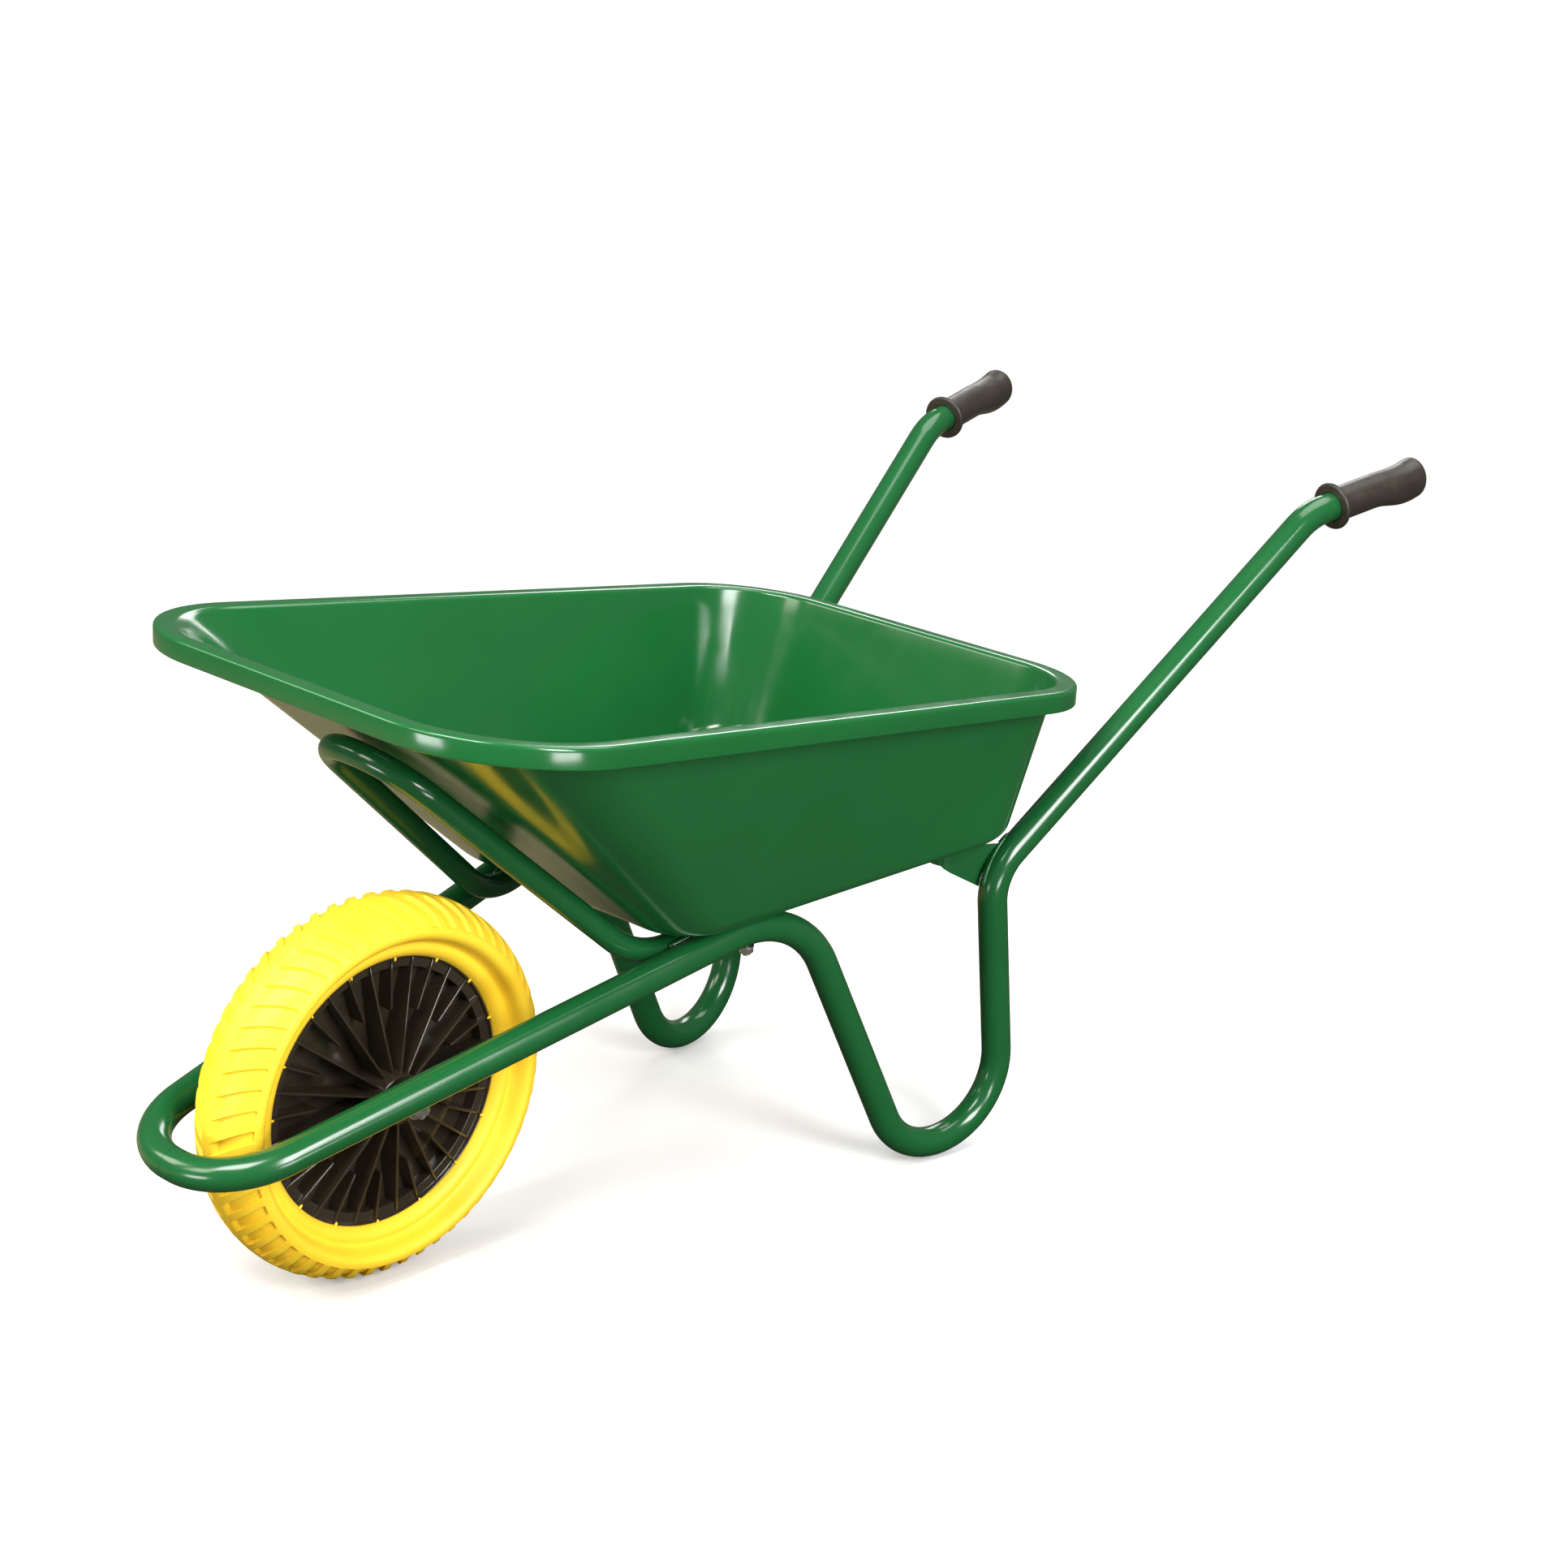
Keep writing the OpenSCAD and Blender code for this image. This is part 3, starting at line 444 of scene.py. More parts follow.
def tube_rings(stations, radius):
    """Rings round a tube's axis, carried along it without twist."""
    up = stations[0][1].orthogonal().normalized()
    turns = [TAU * i / TUBE_SIDES for i in range(TUBE_SIDES)]
    rings = []
    for spot, axis in stations:
        up = (up - axis * up.dot(axis)).normalized()
        side = axis.cross(up)
        rings.append([spot + radius * (up * math.cos(w) + side * math.sin(w)) for w in turns])
    return rings


def bent_tube(name, node, corners, bends, radius, wall):
    """Replaces a tube of the frame by one with smooth bends; both of its ends are open."""
    stations = tube_stations([behind_axle(p) for p in corners], bends)
    outer = tube_rings(stations, radius)
    inner = tube_rings(stations, radius - wall)
    form = Form()
    form.loft(outer + list(reversed(inner)), closed=True)
    piece = form.piece(name, "frame", FRAME_PAINT)
    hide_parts(node)
    return piece


def main_tube():
    left = [NOSE, CREST, FOOT, KNEE, HANDLE_BEND, HANDLE_END - HANDLE_DIR * GRIP_END_T]
    corners = list(reversed(left)) + [flip_y(p) for p in left]
    bends = list(reversed(TUBE_BENDS)) + TUBE_BENDS
    return bent_tube("bent_main_tube", "main_frame", corners, bends, TUBE_R, TUBE_WALL)


HOOP_R = 12.5 * MM
HOOP_WALL = 1.5 * MM
HOOP_TOP = Vector((-25.2, -58, 534.2)) * MM
HOOP_ALONG = 483.5 * MM      # from the nose corner along the rail to the hoop's lower corner
HOOP_FOOT = 80 * MM          # length of the foot behind that corner
HOOP_ROLL = math.radians(8.7)    # how far above level the foot sits round the rail
HOOP_BENDS = [81 * MM, 62 * MM]


def rail_sides():
    """Square to the left rail: towards the hoop's foot, and at right angles to that."""
    inward = (Vector((0, 1, 0)) - RAIL_DIR * RAIL_DIR.y).normalized()
    upward = inward.cross(RAIL_DIR)
    if upward.z < 0:
        upward = -upward
    return (inward * math.cos(HOOP_ROLL) + upward * math.sin(HOOP_ROLL),
            upward * math.cos(HOOP_ROLL) - inward * math.sin(HOOP_ROLL))


def hoop_tube():
    to_hoop = rail_sides()[0]
    low = NOSE + RAIL_DIR * HOOP_ALONG + to_hoop * (TUBE_R + HOOP_R + WELD_GAP)
    left = [low + RAIL_DIR * HOOP_FOOT, low, HOOP_TOP]
    corners = left + [flip_y(p) for p in reversed(left)]
    bends = HOOP_BENDS + list(reversed(HOOP_BENDS))
    bent_tube("bent_front_hoop", "front_hoop", corners, bends, HOOP_R, HOOP_WALL)


# =================== tray ===================

SHEET = 1.5 * MM
# outlines: front x, rear x, half widths at the front and rear, corner radii at the front and rear
FLOOR = [246 * MM, 704 * MM, 174 * MM, 236.6 * MM, 62 * MM, 70 * MM]
RIM = [-108.8 * MM, 777.1 * MM, 297.9 * MM, 270.9 * MM, 146 * MM, 122 * MM]
RIM_Z = 607.3 * MM       # height of the rim at the axle's X
RIM_FALL = 0.114         # fall of the rim towards the handles
RIM_FLANGE = 21 * MM
RIM_LIP = 21.5 * MM
LIP_ROUND = 5 * MM
FLOOR_ROUND = 18 * MM
FLOOR_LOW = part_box("tray")[0].z
WALL_SHEET = 0.8 * SHEET     # how far the sheet reaches inwards at the raked walls
WALL_LOW = 0.07          # shares of the wall's height between which it is straight
WALL_HIGH = 0.975
WALL_STEPS = 8
ROUND_STEPS = 8
LIP_STEPS = 10
HEM_R = 1.7 * MM
HEM_STEPS = 8
HEM_UP = 8 * MM          # height of the folded hem
ARC_STEPS = 26
SIDE_STEPS = (0.015, 0.1, 0.3, 0.5, 0.7, 0.9, 0.985)     # shares of a straight side


def outline(shape, inset):
    """Points round FLOOR or RIM, a rounded trapezium, drawn inset."""
    front, rear, half_f, half_r, rf, rr = shape
    lean = math.atan((half_r - half_f) / (rear - front))
    front, rear = front + inset, rear - inset
    half_f, half_r = (h - inset / math.cos(lean) for h in (half_f, half_r))
    rf, rr = rf - inset, rr - inset
    yf = half_f - rf * (1 / math.cos(lean) - math.tan(lean))
    yr = half_r - rr * (1 / math.cos(lean) + math.tan(lean))

    def arc(x, y, r, start, span):
        turns = [start + span * i / ARC_STEPS for i in range(ARC_STEPS + 1)]
        return [(x + r * math.cos(w), y + r * math.sin(w)) for w in turns]

    def straight(a, b):
        return [(a[0] + (b[0] - a[0]) * u, a[1] + (b[1] - a[1]) * u) for u in SIDE_STEPS]

    quarter = math.pi / 2
    at_rear = arc(rear - rr, yr, rr, 0, quarter + lean)
    at_front = arc(front + rf, yf, rf, quarter + lean, quarter - lean)
    far = at_rear + straight(at_rear[-1], at_front[0]) + at_front
    near = [(x, -y) for x, y in reversed(far)]
    return far + straight(far[-1], near[0]) + near + straight(near[-1], far[0])


def floor_ring(inset, up):
    """The floor's outline, drawn inset and this far above the sheet's underside."""
    base = FLOOR_LOW - FLOOR_RISE * (FLOOR[0] + FLOOR_ROUND)
    return [behind_axle((x, y, base + FLOOR_RISE * x + up)) for x, y in outline(FLOOR, inset)]


def rim_ring(inset, down):
    """The rim's outline, drawn inset and this far below the flange's top."""
    return [behind_axle((x, y, RIM_Z - RIM_FALL * x - down)) for x, y in outline(RIM, inset)]


def soft(a, b, c, steps):
    """Rings that round the corner between a and c, which b marks."""
    return [mix(mix(a, b, i / steps), mix(b, c, i / steps), i / steps) for i in range(steps + 1)]


def tray_face(lower):
    """One face of the sheet from the floor to the lip, as rings: the upper or the lower one."""
    up = 0 if lower else SHEET
    side = 0 if lower else WALL_SHEET
    drop = SHEET if lower else 0
    low = floor_ring(side, up)
    floor_in = floor_ring(FLOOR_ROUND, up)
    wall_top = rim_ring(RIM_FLANGE + side, drop)
    flange_in = rim_ring(RIM_FLANGE - LIP_ROUND, drop)
    edge_in = rim_ring(drop + LIP_ROUND, drop)
    edge = rim_ring(drop, drop)
    lip_high = rim_ring(drop, LIP_ROUND + drop)
    wall = [mix(low, wall_top, WALL_LOW + (WALL_HIGH - WALL_LOW) * i / WALL_STEPS)
            for i in range(WALL_STEPS + 1)]
    return (soft(floor_in, low, wall[0], ROUND_STEPS) + wall[1:-1]
            + soft(wall[-1], wall_top, flange_in, ROUND_STEPS)
            + soft(edge_in, edge, lip_high, LIP_STEPS))


def hem_rings():
    """The lip's lower edge, folded back on itself inside the lip."""
    turns = [math.pi * i / HEM_STEPS for i in range(HEM_STEPS + 1)]
    turn = [rim_ring(HEM_R * (1 - math.cos(w)), RIM_LIP - HEM_R + HEM_R * math.sin(w)) for w in turns]
    fold = [rim_ring(2 * HEM_R, RIM_LIP - HEM_UP), rim_ring(1.8 * HEM_R, RIM_LIP - HEM_UP - 0.8 * MM),
            rim_ring(SHEET, RIM_LIP - HEM_UP - 1.4 * MM)]
    return turn + fold


def tray_shell():
    form = Form()
    form.loft(tray_face(False) + hem_rings() + list(reversed(tray_face(True))))
    piece = form.piece("tray_shell", "frame", TRAY_PAINT, 40)
    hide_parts("tray")


# =================== tyre ===================

BEAD_R = 136 * MM
SIDE_H = WHEEL_R - BEAD_R
BARREL_HALF = 20 * MM
LUGS = 54                # tread lugs a side
SLOT_DEPTH = 4.2 * MM
SLOT_SHARE = 0.55        # share of a lug pitch that the slot takes
SLOT_SOFT = 0.03         # share of a pitch over which a slot's wall rises
SLOT_LEAN = math.radians(30)
SLOT_END = TYRE_HALF - 4 * MM    # the slots run out over the shoulders
TREAD_FROM = BEAD_R + 0.55 * SIDE_H    # radius from which the slots cut
RIB_HALF = 8 * MM        # half width of the unbroken rib round the tread's middle
LUG_STEPS = 8            # even steps round a lug pitch
STEP_GAP = 0.035         # share of a pitch that they keep from a slot's wall
NUBS = 16                # moulding nubs on each bead lip
NUB_START = 153.5        # degrees


def tyre_outer_half():
    """From the bead lip over the sidewall and shoulder to the tread's middle: (radius, y)."""
    side = [(BEAD_R + 0.5 * MM, BARREL_HALF + 2.5 * MM), (BEAD_R + 4 * MM, BARREL_HALF + 7 * MM),
            (BEAD_R + 9 * MM, BARREL_HALF + 9.6 * MM), (BEAD_R + 13 * MM, BARREL_HALF + 9 * MM),
            (BEAD_R + 15.5 * MM, BARREL_HALF + 9 * MM), (BEAD_R + 18.5 * MM, BARREL_HALF + 13 * MM),
            (BEAD_R + 0.39 * SIDE_H, TYRE_HALF - 4 * MM), (BEAD_R + 0.49 * SIDE_H, TYRE_HALF)]
    shoulder = (BEAD_R + 0.6 * SIDE_H, TYRE_HALF - 1.5 * MM)
    tread = [(WHEEL_R - 15 * MM, TYRE_HALF - 8.5 * MM), (WHEEL_R - 9 * MM, TYRE_HALF - 15.5 * MM),
             (WHEEL_R - 4 * MM, TYRE_HALF - 25 * MM), (WHEEL_R - 1 * MM, TYRE_HALF - 35 * MM),
             (WHEEL_R, 0)]
    return spline(side + [shoulder], 3)[:-1] + spline([shoulder] + tread, 4)


def tyre_section():
    """The tyre's closed section as (radius, y)."""
    seat = BARREL_HALF - 4 * MM - FIT
    inner = [(BEAD_R - 5 * MM, seat), (BEAD_R + FIT, seat), (BEAD_R + FIT, BARREL_HALF + 1.6 * MM)]
    side = inner + tyre_outer_half()
    return side + [(r, -y) for r, y in reversed(side[:-1])]


def slot_steps():
    """Places round one lug pitch, close together at the slots' walls. The slots of the right side
    are centred on 0 and those of the left side on 0.5."""
    half = SLOT_SHARE / 2
    walls = [half, 1 - half, 0.5 - half, 0.5 + half]
    at_walls = [wall + SLOT_SOFT * off for wall in walls for off in (-1, 0, 1)]
    even = [i / LUG_STEPS for i in range(LUG_STEPS)]
    return sorted(at_walls + [u for u in even if min(abs(u - w) for w in walls) > STEP_GAP])


def slot_depth(phase, y):
    """How deep the tread is cut at this place of a lug pitch."""
    from_centre = abs((phase - (0 if y > 0 else 0.5) + 0.5) % 1 - 0.5)
    half = SLOT_SHARE / 2
    wall = 1 - smoothstep(half - SLOT_SOFT, half + SLOT_SOFT, from_centre)
    across = smoothstep(RIB_HALF - 0.5 * MM, RIB_HALF + 1.5 * MM, abs(y))
    across *= 1 - smoothstep(SLOT_END - 0.5 * MM, SLOT_END + 2 * MM, abs(y))
    return SLOT_DEPTH * wall * across


def tyre_foam():
    section = tyre_section()
    pitch = TAU * WHEEL_R / LUGS
    rings = []
    for lug in range(LUGS):
        for phase in slot_steps():
            ring = []
            for r, y in section:
                lean = -math.tan(SLOT_LEAN) * min(abs(y), SLOT_END) / pitch
                turn = TAU * (lug + phase + lean) / LUGS
                radius = r - (slot_depth(phase, y) if r > TREAD_FROM else 0)
                ring.append((AXLE.x + radius * math.cos(turn), y, AXLE.z + radius * math.sin(turn)))
            rings.append(ring)
    form = Form()
    form.loft(rings, closed=True)
    nub_form(form)
    piece = form.piece("tyre_foam", "wheel", FOAM, 38)
    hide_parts("tyre")


def nub_form(form):
    """Small nubs left by the mould round the bead lip, lying on the centre's edge."""
    for k in range(NUBS):
        turn = math.radians(NUB_START - 360 / NUBS * k)
        radial = Vector((math.cos(turn), 0, math.sin(turn)))
        for side in (-1, 1):
            base = AXLE + radial * (BEAD_R + 1 * MM) + Vector((0, side * (BARREL_HALF + 1.4 * MM), 0))
            place = along(-radial, base)
            form.lathe([(0, 0), (1.5 * MM, 0), (1.4 * MM, 2.5 * MM), (1.0 * MM, 4 * MM),
                        (0.5 * MM, 4.6 * MM), (0, 4.8 * MM)], 10, place)


# =================== wheel centre ===================

FINS = 16                # long fins, with as many short ones between
FIN_START = math.radians(7.5)
FIN_T = 2.6 * MM
FIN_EDGE = 1.2 * MM      # rounding of a fin's long edges
HUB_R = 25 * MM
HUB_FACE = 45 * MM
BEARING_R = 16 * MM
BEARING_W = 10 * MM
BEARING_FACE = 44 * MM   # outer face of a bearing
BARREL_OUT = BEAD_R - 5 * MM
BARREL_IN = BARREL_OUT - 7 * MM
WEB_HALF = 2.5 * MM      # half thickness of the disc in the middle plane
RING_STEPS = 160


def wheel_place():
    """Matrix from a lathe about +Z to the wheel's axis along +Y."""
    return Matrix.Translation(AXLE) @ Matrix.Rotation(-math.pi / 2, 4, "X")


def rounded(profile, r, steps=4):
    """Rounds the corners of a closed (radius, height) profile."""
    out = []
    count = len(profile)
    for i in range(count):
        a, p, b = (Vector(profile[j % count]) for j in (i - 1, i, i + 1))
        size = min(r, (a - p).length * 0.45, (b - p).length * 0.45)
        start = p + (a - p).normalized() * size
        end = p + (b - p).normalized() * size
        for s in range(steps + 1):
            u = s / steps
            out.append(tuple(start.lerp(p, u).lerp(p.lerp(end, u), u)))
    return out


def fin_form(form, turn, stations):
    """A radial plate with softened long edges, skinned through (radius, half depth) stations."""
    radial = Vector((math.cos(turn), 0, math.sin(turn)))
    across = Vector((-math.sin(turn), 0, math.cos(turn)))
    t = FIN_T / 2
    rings = []
    for r, half in stations:
        corners = rounded([(-t, -half), (t, -half), (t, half), (-t, half)], FIN_EDGE)
        rings.append([AXLE + radial * r + across * c + Vector((0, h, 0)) for c, h in corners])
    form.loft(rings)


def wheel_moulding():
    form = Form()
    bore = BEARING_R - 3 * MM
    seat = BEARING_FACE - BEARING_W
    edge = HUB_R - 1 * MM
    hub = [(bore, -seat), (BEARING_R, -seat), (BEARING_R, -HUB_FACE), (edge, -HUB_FACE),
           (HUB_R, -HUB_FACE + 1 * MM), (HUB_R + 1.5 * MM, 0), (HUB_R, HUB_FACE - 1 * MM),
           (edge, HUB_FACE), (BEARING_R, HUB_FACE), (BEARING_R, seat), (bore, seat)]
    lip = BARREL_HALF - 4 * MM
    flat_in, flat_out = BEAD_R - 2.4 * MM, BEAD_R - 1.2 * MM
    barrel = [(BARREL_IN, -lip), (flat_in, -lip - 0.4 * MM), (flat_out, -BARREL_HALF),
              (BEAD_R, -BARREL_HALF), (BEAD_R, -lip), (BARREL_OUT, -lip), (BARREL_OUT, lip),
              (BEAD_R, lip), (BEAD_R, BARREL_HALF), (flat_out, BARREL_HALF),
              (flat_in, lip + 0.4 * MM), (BARREL_IN, lip)]
    web = [(edge, -WEB_HALF), (BARREL_IN + 1 * MM, -WEB_HALF), (BARREL_IN + 1 * MM, WEB_HALF),
           (edge, WEB_HALF)]
    for profile in (hub, barrel, web):
        form.turned_ring(rounded(profile, 0.6 * MM, 3), RING_STEPS, wheel_place())
    at_rim = [(BARREL_IN, 19.2 * MM), (BEAD_R - 2.5 * MM, 18.6 * MM), (BEAD_R - 1 * MM, 17.8 * MM)]
    long_fin = [(edge, 36.5 * MM), (HUB_R + 1.5 * MM, 36.3 * MM)] + at_rim
    short_fin = [(83 * MM, 20 * MM), (84 * MM, 22 * MM), (86 * MM, 22.4 * MM)] + at_rim
    for i in range(FINS):
        fin_form(form, FIN_START + TAU * i / FINS, long_fin)
        fin_form(form, FIN_START + TAU * (i + 0.5) / FINS, short_fin)
    piece = form.piece("wheel_moulding", "wheel", PLASTIC, 35)
    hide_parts("wheel_centre")


# =================== grips ===================

GRIP_R = 19.2 * MM
GRIP_LEN = 138 * MM
GRIP_SET = 0.1 * MM      # keeps the round end inside the faceted CAD one
GRIP_SIDES = 64
FLANGE_R = 26.4 * MM
FLANGE_T = 6 * MM
FLANGE_STEPS = 12
ROOT_ROUND = 2.5 * MM    # between the flange and the grip behind it
ROOT_STEPS = 6
HEEL_DROP = 26.9 * MM    # how far the heel reaches below the handle's axis
HEEL_AT = 26 * MM        # and how far before the grip's end
HEEL_RUN = 50 * MM
END_RISE = 23.35 * MM    # how far the end reaches above the axis
END_DROP = END_RISE - 1 * MM
END_ROUND = 9 * MM
END_POWER = 2.4          # of the superellipse that rounds the end
FLARE_RUN = 24 * MM
FLARE_POWER = 1.3
WAIST_AT = 18 * MM       # the shallow waist starts this far before the end
WAIST_RUN = 45 * MM
WAIST_DEPTH = 0.9 * MM
SPREAD = 2.4 * MM        # how much wider the end is
SPREAD_RUN = 60 * MM
BODY_STEPS = 40
TIP_STEPS = 14           # the last ones are left out, where the rings would shrink to a point


def reach_below(e):
    """How far the grip reaches below the axis, a distance e before its end."""
    if e > HEEL_AT + HEEL_RUN:
        return GRIP_R
    if e > HEEL_AT:
        return GRIP_R + (HEEL_DROP - GRIP_R) * (1 + math.cos(math.pi * (e - HEEL_AT) / HEEL_RUN)) / 2
    return END_DROP + (HEEL_DROP - END_DROP) * math.sin(math.pi / 2 * e / HEEL_AT)


def reach_above(e):
    """How far it reaches above the axis: a shallow waist, then the flare of the end."""
    waist = min(1, max(0, (e - WAIST_AT) / WAIST_RUN))
    flare = max(0, 1 - e / FLARE_RUN) ** FLARE_POWER
    return GRIP_R + (END_RISE - GRIP_R) * flare - WAIST_DEPTH * math.sin(math.pi * waist)


def reach_beside(e):
    return GRIP_R + SPREAD * max(0, 1 - e / SPREAD_RUN)


def end_rounding(e):
    """Share of its full reach that the grip has, a distance e before its end."""
    return 1 if e >= END_ROUND else (1 - (1 - e / END_ROUND) ** END_POWER) ** (1 / END_POWER)


def grip_stations():
    """Along the grip: (distance before its end, reach beside, above and below the axis)."""
    bore = TUBE_R + FIT
    half = FLANGE_T / 2
    turned = [(GRIP_END_T, bore), (GRIP_LEN - 1 * MM, bore), (GRIP_LEN, bore + 1 * MM)]
    for i in range(FLANGE_STEPS + 1):
        w = math.pi * i / FLANGE_STEPS
        turned.append((GRIP_LEN - half * (1 - math.cos(w)), FLANGE_R - half * (1 - math.sin(w))))
    for i in range(ROOT_STEPS + 1):
        w = math.pi / 2 * i / ROOT_STEPS
        turned.append((GRIP_LEN - FLANGE_T - ROOT_ROUND * (1 - math.cos(w)),
                       GRIP_R + ROOT_ROUND * (1 - math.sin(w))))
    stations = [(e, r, r, r) for e, r in turned]
    straight = GRIP_LEN - FLANGE_T - 4 * MM - END_ROUND
    body = [END_ROUND + straight * (1 - i / BODY_STEPS) for i in range(BODY_STEPS + 1)]
    tip = [END_ROUND * (1 - i / TIP_STEPS) ** 2 for i in range(1, TIP_STEPS - 1)]
    for e in body + tip:
        k = end_rounding(e)
        stations.append((e, k * reach_beside(e), k * reach_above(e), k * reach_below(e)))
    return stations


def grip(name, side):
    across = HANDLE_DIR.cross(Vector((0, 0, 1))).normalized()
    up = across.cross(HANDLE_DIR)
    form = Form()
    rings = []
    for e, beside, above, below in grip_stations():
        centre = HANDLE_END - HANDLE_DIR * (e + GRIP_SET)
        ring = []
        for i in range(GRIP_SIDES):
            w = TAU * i / GRIP_SIDES
            height = (above if w < math.pi else below) * math.sin(w)
            spot = centre + across * beside * math.cos(w) + up * height
            ring.append(behind_axle((spot.x, spot.y * side, spot.z)))
        rings.append(ring)
    form.loft(rings)
    piece = form.piece("grip_moulding_" + name, "frame", RUBBER, 40)
    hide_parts("grip_" + name)


# =================== fasteners ===================

HEX_STEPS = 72
HEX_FACE = 0.94          # radius of a turned-off end face, as a share of half the flats
CHAMFER = 0.58           # slope of the turned-off corners, 30 degrees
THREAD_DEPTH = 0.6       # share of the pitch
THREAD_END = 0.4         # how much thinner its first and last rings are, as such a share
THREAD_SIDES = 32
THREAD_ROWS = 6          # rings for each turn of the thread


def hexagon_form(form, flats, low, high, place, chamfer_high=True):
    """A hexagon bar along +Z whose end corners are turned off at 30 degrees."""
    corner = flats / 2 / math.cos(math.pi / 6)
    face = flats / 2 * HEX_FACE
    drop = (corner - face) * CHAMFER

    def reach(turn):
        return flats / 2 / math.cos((turn + math.pi / 6) % (math.pi / 3) - math.pi / 6)

    def ring(z, cap):
        turns = [TAU * i / HEX_STEPS for i in range(HEX_STEPS)]
        return [(min(reach(w), cap) * math.cos(w), min(reach(w), cap) * math.sin(w), z) for w in turns]

    levels = [ring(low, face), ring(low + drop * 0.5, (corner + face) / 2), ring(low + drop, corner)]
    if chamfer_high:
        levels += [ring(high - drop, corner), ring(high - drop * 0.5, (corner + face) / 2),
                   ring(high, face)]
    else:
        levels.append(ring(high, corner))
    form.loft(levels, place=place)


def thread_form(form, radius, low, high, pitch, place):
    """A screw thread along +Z as one skin whose radius follows the helix."""
    rows = max(4, round((high - low) / pitch * THREAD_ROWS))
    rings = []
    for j in range(rows + 1):
        z = low + (high - low) * j / rows
        end = THREAD_END * pitch if j in (0, rows) else 0
        ring = []
        for i in range(THREAD_SIDES):
            phase = (z / pitch - i / THREAD_SIDES) % 1
            r = radius - THREAD_DEPTH * pitch * abs(2 * phase - 1) - end
            turn = TAU * i / THREAD_SIDES
            ring.append((r * math.cos(turn), r * math.sin(turn), z))
        rings.append(ring)
    form.loft(rings, place=place)


def quarters(node):
    """Lowest and highest corners of a node's four solids, one in each quarter of the plan."""
    points = [v.co for v in frame["nodes"][node].data.vertices]
    centre = sum(points, Vector()) / len(points)
    found = []
    for along_x in (False, True):
        for along_y in (False, True):
            own = [p for p in points if (p.x > centre.x) == along_x and (p.y > centre.y) == along_y]
            low = Vector(min(p[i] for p in own) for i in range(3))
            high = Vector(max(p[i] for p in own) for i in range(3))
            found.append((low, high))
    return found


FLOOR_TILT = math.atan(FLOOR_RISE)
FLOOR_UP = Vector((-math.sin(FLOOR_TILT), 0, math.cos(FLOOR_TILT)))
BOLT_R = 4 * MM
BOLT_PITCH = 1.25 * MM
BOLT_PAST_NUT = 3 * MM
HEAD_R = 8.8 * MM
HEAD_H = 4 * MM
HEAD_SET = 0.2 * MM      # keeps the dome inside the CAD's head
DOME_SHARE = 0.92        # share of the head's height that is domed
DOME_STEPS = 10
NUT_FLATS = 13 * MM
NUT_H = 6.4 * MM


def tray_fasteners():
    """Cup-head bolts through the floor, with their threads and nuts below."""
    bolts = Form()
    nuts = Form()
    turns = [math.pi / 2 * i / DOME_STEPS for i in range(1, DOME_STEPS + 1)]
    dome = [(0, 0)] + [(HEAD_R * math.sin(w), -HEAD_H * (1 - math.cos(w)) * DOME_SHARE) for w in turns]
    dome += [(HEAD_R * 0.99, -HEAD_H), (BOLT_R, -HEAD_H)]
    for (_, high), (nut_low, nut_high) in zip(quarters("tray_bolts"), quarters("tray_nuts")):
        nut_middle = (nut_low + nut_high) / 2
        nut_down = (high.z - HEAD_SET - nut_middle.z) / FLOOR_UP.z
        place = along(FLOOR_UP, nut_middle + FLOOR_UP * nut_down)
        plain_to = NUT_H - nut_down
        shank = [(BOLT_R, plain_to), (BOLT_R * 0.9, plain_to - 0.5 * MM), (0, plain_to - 0.6 * MM)]
        bolts.lathe(list(reversed(dome + shank)), 40, place)
        thread_end = -nut_down - NUT_H / 2 - BOLT_PAST_NUT
        thread_form(bolts, BOLT_R, thread_end, plain_to, BOLT_PITCH, place)
        hexagon_form(nuts, NUT_FLATS, -nut_down - NUT_H / 2, -nut_down + NUT_H / 2, place)
    bolt_piece = bolts.piece("cup_head_bolts", "frame", ZINC, 35)
    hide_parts("tray_bolts")
    nut_piece = nuts.piece("tray_hex_nuts", "frame", ZINC, 25)
    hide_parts("tray_nuts")


AXLE_R = 6 * MM
AXLE_FLATS = 18 * MM
AXLE_PITCH = 1.75 * MM
THREAD_BEFORE_NUT = 6 * MM


def axle_fasteners():
    """Hexagon head on the left, threaded end and nut on the right."""
    low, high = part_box("axle_bolt")
    nut_low, nut_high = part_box("axle_nut")
    head_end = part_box("axle_washers")[0].y
    thread_from = nut_low.y - THREAD_BEFORE_NUT
    place = along((0, 1, 0), AXLE)
    bolt = Form()
    hexagon_form(bolt, AXLE_FLATS, low.y, head_end, place, chamfer_high=False)
    bolt.lathe([(0, head_end), (AXLE_R, head_end), (AXLE_R, thread_from),
                (AXLE_R * 0.93, thread_from + 1 * MM), (0, thread_from + 1 * MM)], 48, place)
    thread_form(bolt, AXLE_R, thread_from, high.y, AXLE_PITCH, place)
    bolt_piece = bolt.piece("axle_hex_bolt", "frame", ZINC, 25)
    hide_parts("axle_bolt")
    nut = Form()
    hexagon_form(nut, AXLE_FLATS, nut_low.y, nut_high.y, place)
    nut_piece = nut.piece("axle_hex_nut", "frame", ZINC, 25)
    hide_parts("axle_nut")


# =================== weld beads ===================

RIPPLE = 2.4 * MM        # length of one drop of weld
RIPPLE_RINGS = 6
BEAD_SIDES = 14
WELD_R = 2.4 * MM
HOOP_WELD_R = 3 * MM


